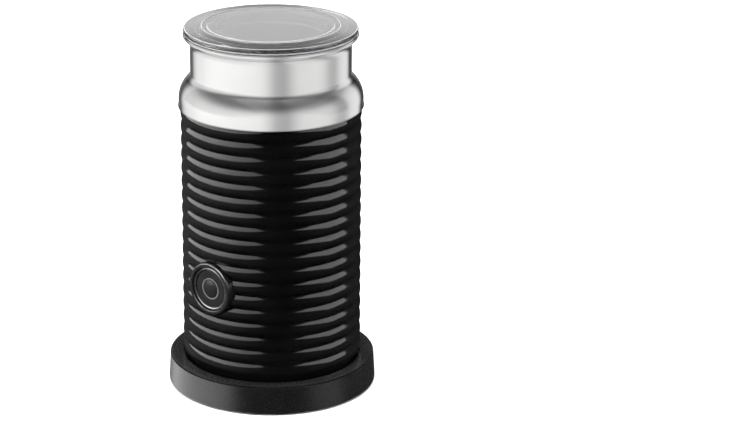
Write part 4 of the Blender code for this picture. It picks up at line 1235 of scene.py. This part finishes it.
LEFT_PANEL = (
    (-130.0, -1.0, 60.0, 2.8),
    (-105.0, 0.0, 60.0, 3.7),
    (-75.0, 1.0, 60.0, 3.6),
    (-45.0, 5.0, 54.0, 2.4),
    (-28.0, 11.0, 44.0, 1.8),
    (-18.0, 18.0, 36.0, 1.7),
    (-10.0, 26.0, 27.0, 1.6),
)
RIGHT_PANEL = (
    (30.0, 23.0, 25.0, 1.8),
    (45.0, 14.0, 31.0, 2.1),
    (58.0, 7.0, 35.0, 2.3),
    (75.0, -6.0, 38.0, 2.35),
    (106.0, -6.0, 40.0, 2.2),
)
BACK_PANEL = (
    (150.0, 8.0, 40.0, 1.4),
    (210.0, 8.0, 40.0, 1.4),
)
STEEL_ROUND = (
    (-180.0, 0.35),
    (-163.0, 0.25),
    (-154.0, 0.0),
    (-145.0, 0.0),
    (-136.0, 0.65),
    (-125.0, 0.85),
    (-111.0, 0.86),
    (-97.0, 0.97),
    (-60.0, 1.00),
    (-25.0, 1.07),
    (-12.0, 1.05),
    (-4.0, 0.88),
    (5.0, 0.60),
    (13.0, 0.50),
    (20.0, 0.52),
    (28.0, 0.72),
    (38.0, 0.90),
    (68.0, 0.88),
    (78.0, 0.78),
    (90.0, 0.50),
    (99.0, 0.44),
    (106.0, 0.60),
    (114.0, 0.84),
    (128.0, 0.95),
    (136.0, 0.85),
    (143.0, 0.0),
    (154.0, 0.0),
    (163.0, 0.25),
    (180.0, 0.35),
)
STEEL_UP = (
    (-80.0, 0.95),
    (8.0, 1.0),
    (20.0, 0.82),
    (30.0, 0.46),
    (42.0, 0.20),
    (60.0, 0.26),
    (85.0, 0.50),
)
LID_ROUND = (
    (-180.0, 1.0),
    (-150.0, 0.9),
    (-120.0, 0.5),
    (-90.0, 0.2),
    (-60.0, 0.0),
    (60.0, 0.0),
    (90.0, 0.2),
    (120.0, 0.5),
    (150.0, 0.9),
    (180.0, 1.0),
)
LID_UP = (
    (-80.0, 0.2),
    (0.0, 0.15),
    (6.0, 0.25),
    (11.0, 1.6),
    (19.0, 1.85),
    (23.0, 1.0),
    (30.0, 0.3),
    (50.0, 0.3),
    (85.0, 0.2),
)
BUTTON_ROUND = (
    (-180.0, 0.0),
    (-65.0, 0.0),
    (-45.0, 9.0),
    (0.0, 9.0),
    (20.0, 0.0),
    (180.0, 0.0),
)
BUTTON_UP = (
    (-80.0, 0.0),
    (15.0, 0.0),
    (28.0, 1.0),
    (60.0, 1.0),
    (75.0, 0.0),
    (85.0, 0.0),
)
BASE_ROUND = (
    (-180.0, 0.05),
    (-150.0, 0.4),
    (-130.0, 2.1),
    (-70.0, 2.2),
    (-50.0, 1.7),
    (-36.0, 0.0),
    (36.0, 0.0),
    (48.0, 0.5),
    (74.0, 0.55),
    (86.0, 0.0),
    (180.0, 0.05),
)
BASE_UP = (
    (-80.0, 0.6),
    (-45.0, 1.0),
    (0.0, 1.0),
    (10.0, 0.5),
    (20.0, 0.0),
    (85.0, 0.0),
)
BUTTON_AXIS = place(0.0, BUTTON_FACE_Y, BUTTON_Z, tilt=pi / 2)
LOOKS = make_looks()

make_base()
make_shell()
make_collar_and_pot()
make_lid()
make_button()
make_drive()
make_whisk()
for name, slot in (("control_board", "circuit_board"), ("switch_body", "connector_plastic")):
    carried = frame["nodes"][name]
    carried.data.materials.clear()
    carried.data.materials.append(LOOKS[slot])

make_floor()
make_world()
overhead("overhead", OVERHEAD_SIZE, OVERHEAD_WATTS)
panels = [
    panel("left_panel", LEFT_PANEL, WARM_WHITE),
    panel("right_panel", RIGHT_PANEL, WHITE),
    panel("back_panel", BACK_PANEL, WHITE),
]
collar = [bpy.data.objects["steel_collar_fine"]]
base = [bpy.data.objects["base_shell_fine"]]
lid = [bpy.data.objects["lid_disc_fine"]]
light_only([glow("steel_glow", STEEL_GLOW_R, STEEL_ROUND, STEEL_UP)], "only_steel", collar)
base_glow = glow("base_glow", BASE_GLOW_R, BASE_ROUND, BASE_UP)
light_only([base_glow, overhead("base_lamp", BASE_LAMP_SIZE, BASE_LAMP_WATTS)], "only_base", base)
lid_glow = glow("lid_glow", LID_GLOW_R, LID_ROUND, LID_UP)
lid_glow.visible_transmission = False
light_only([lid_glow], "only_lid", lid)
housing = [bpy.data.objects["button_housing_fine"]]
light_only([glow("button_glow", BUTTON_GLOW_R, BUTTON_ROUND, BUTTON_UP)], "only_housing", housing)
light_only(panels[:2], "no_steel_or_base", [*collar, *base], "EXCLUDE")
light_only(panels[2:], "no_lid", [*collar, *base, *lid], "EXCLUDE")
make_camera()
bpy.context.scene.view_settings.view_transform = "Standard"
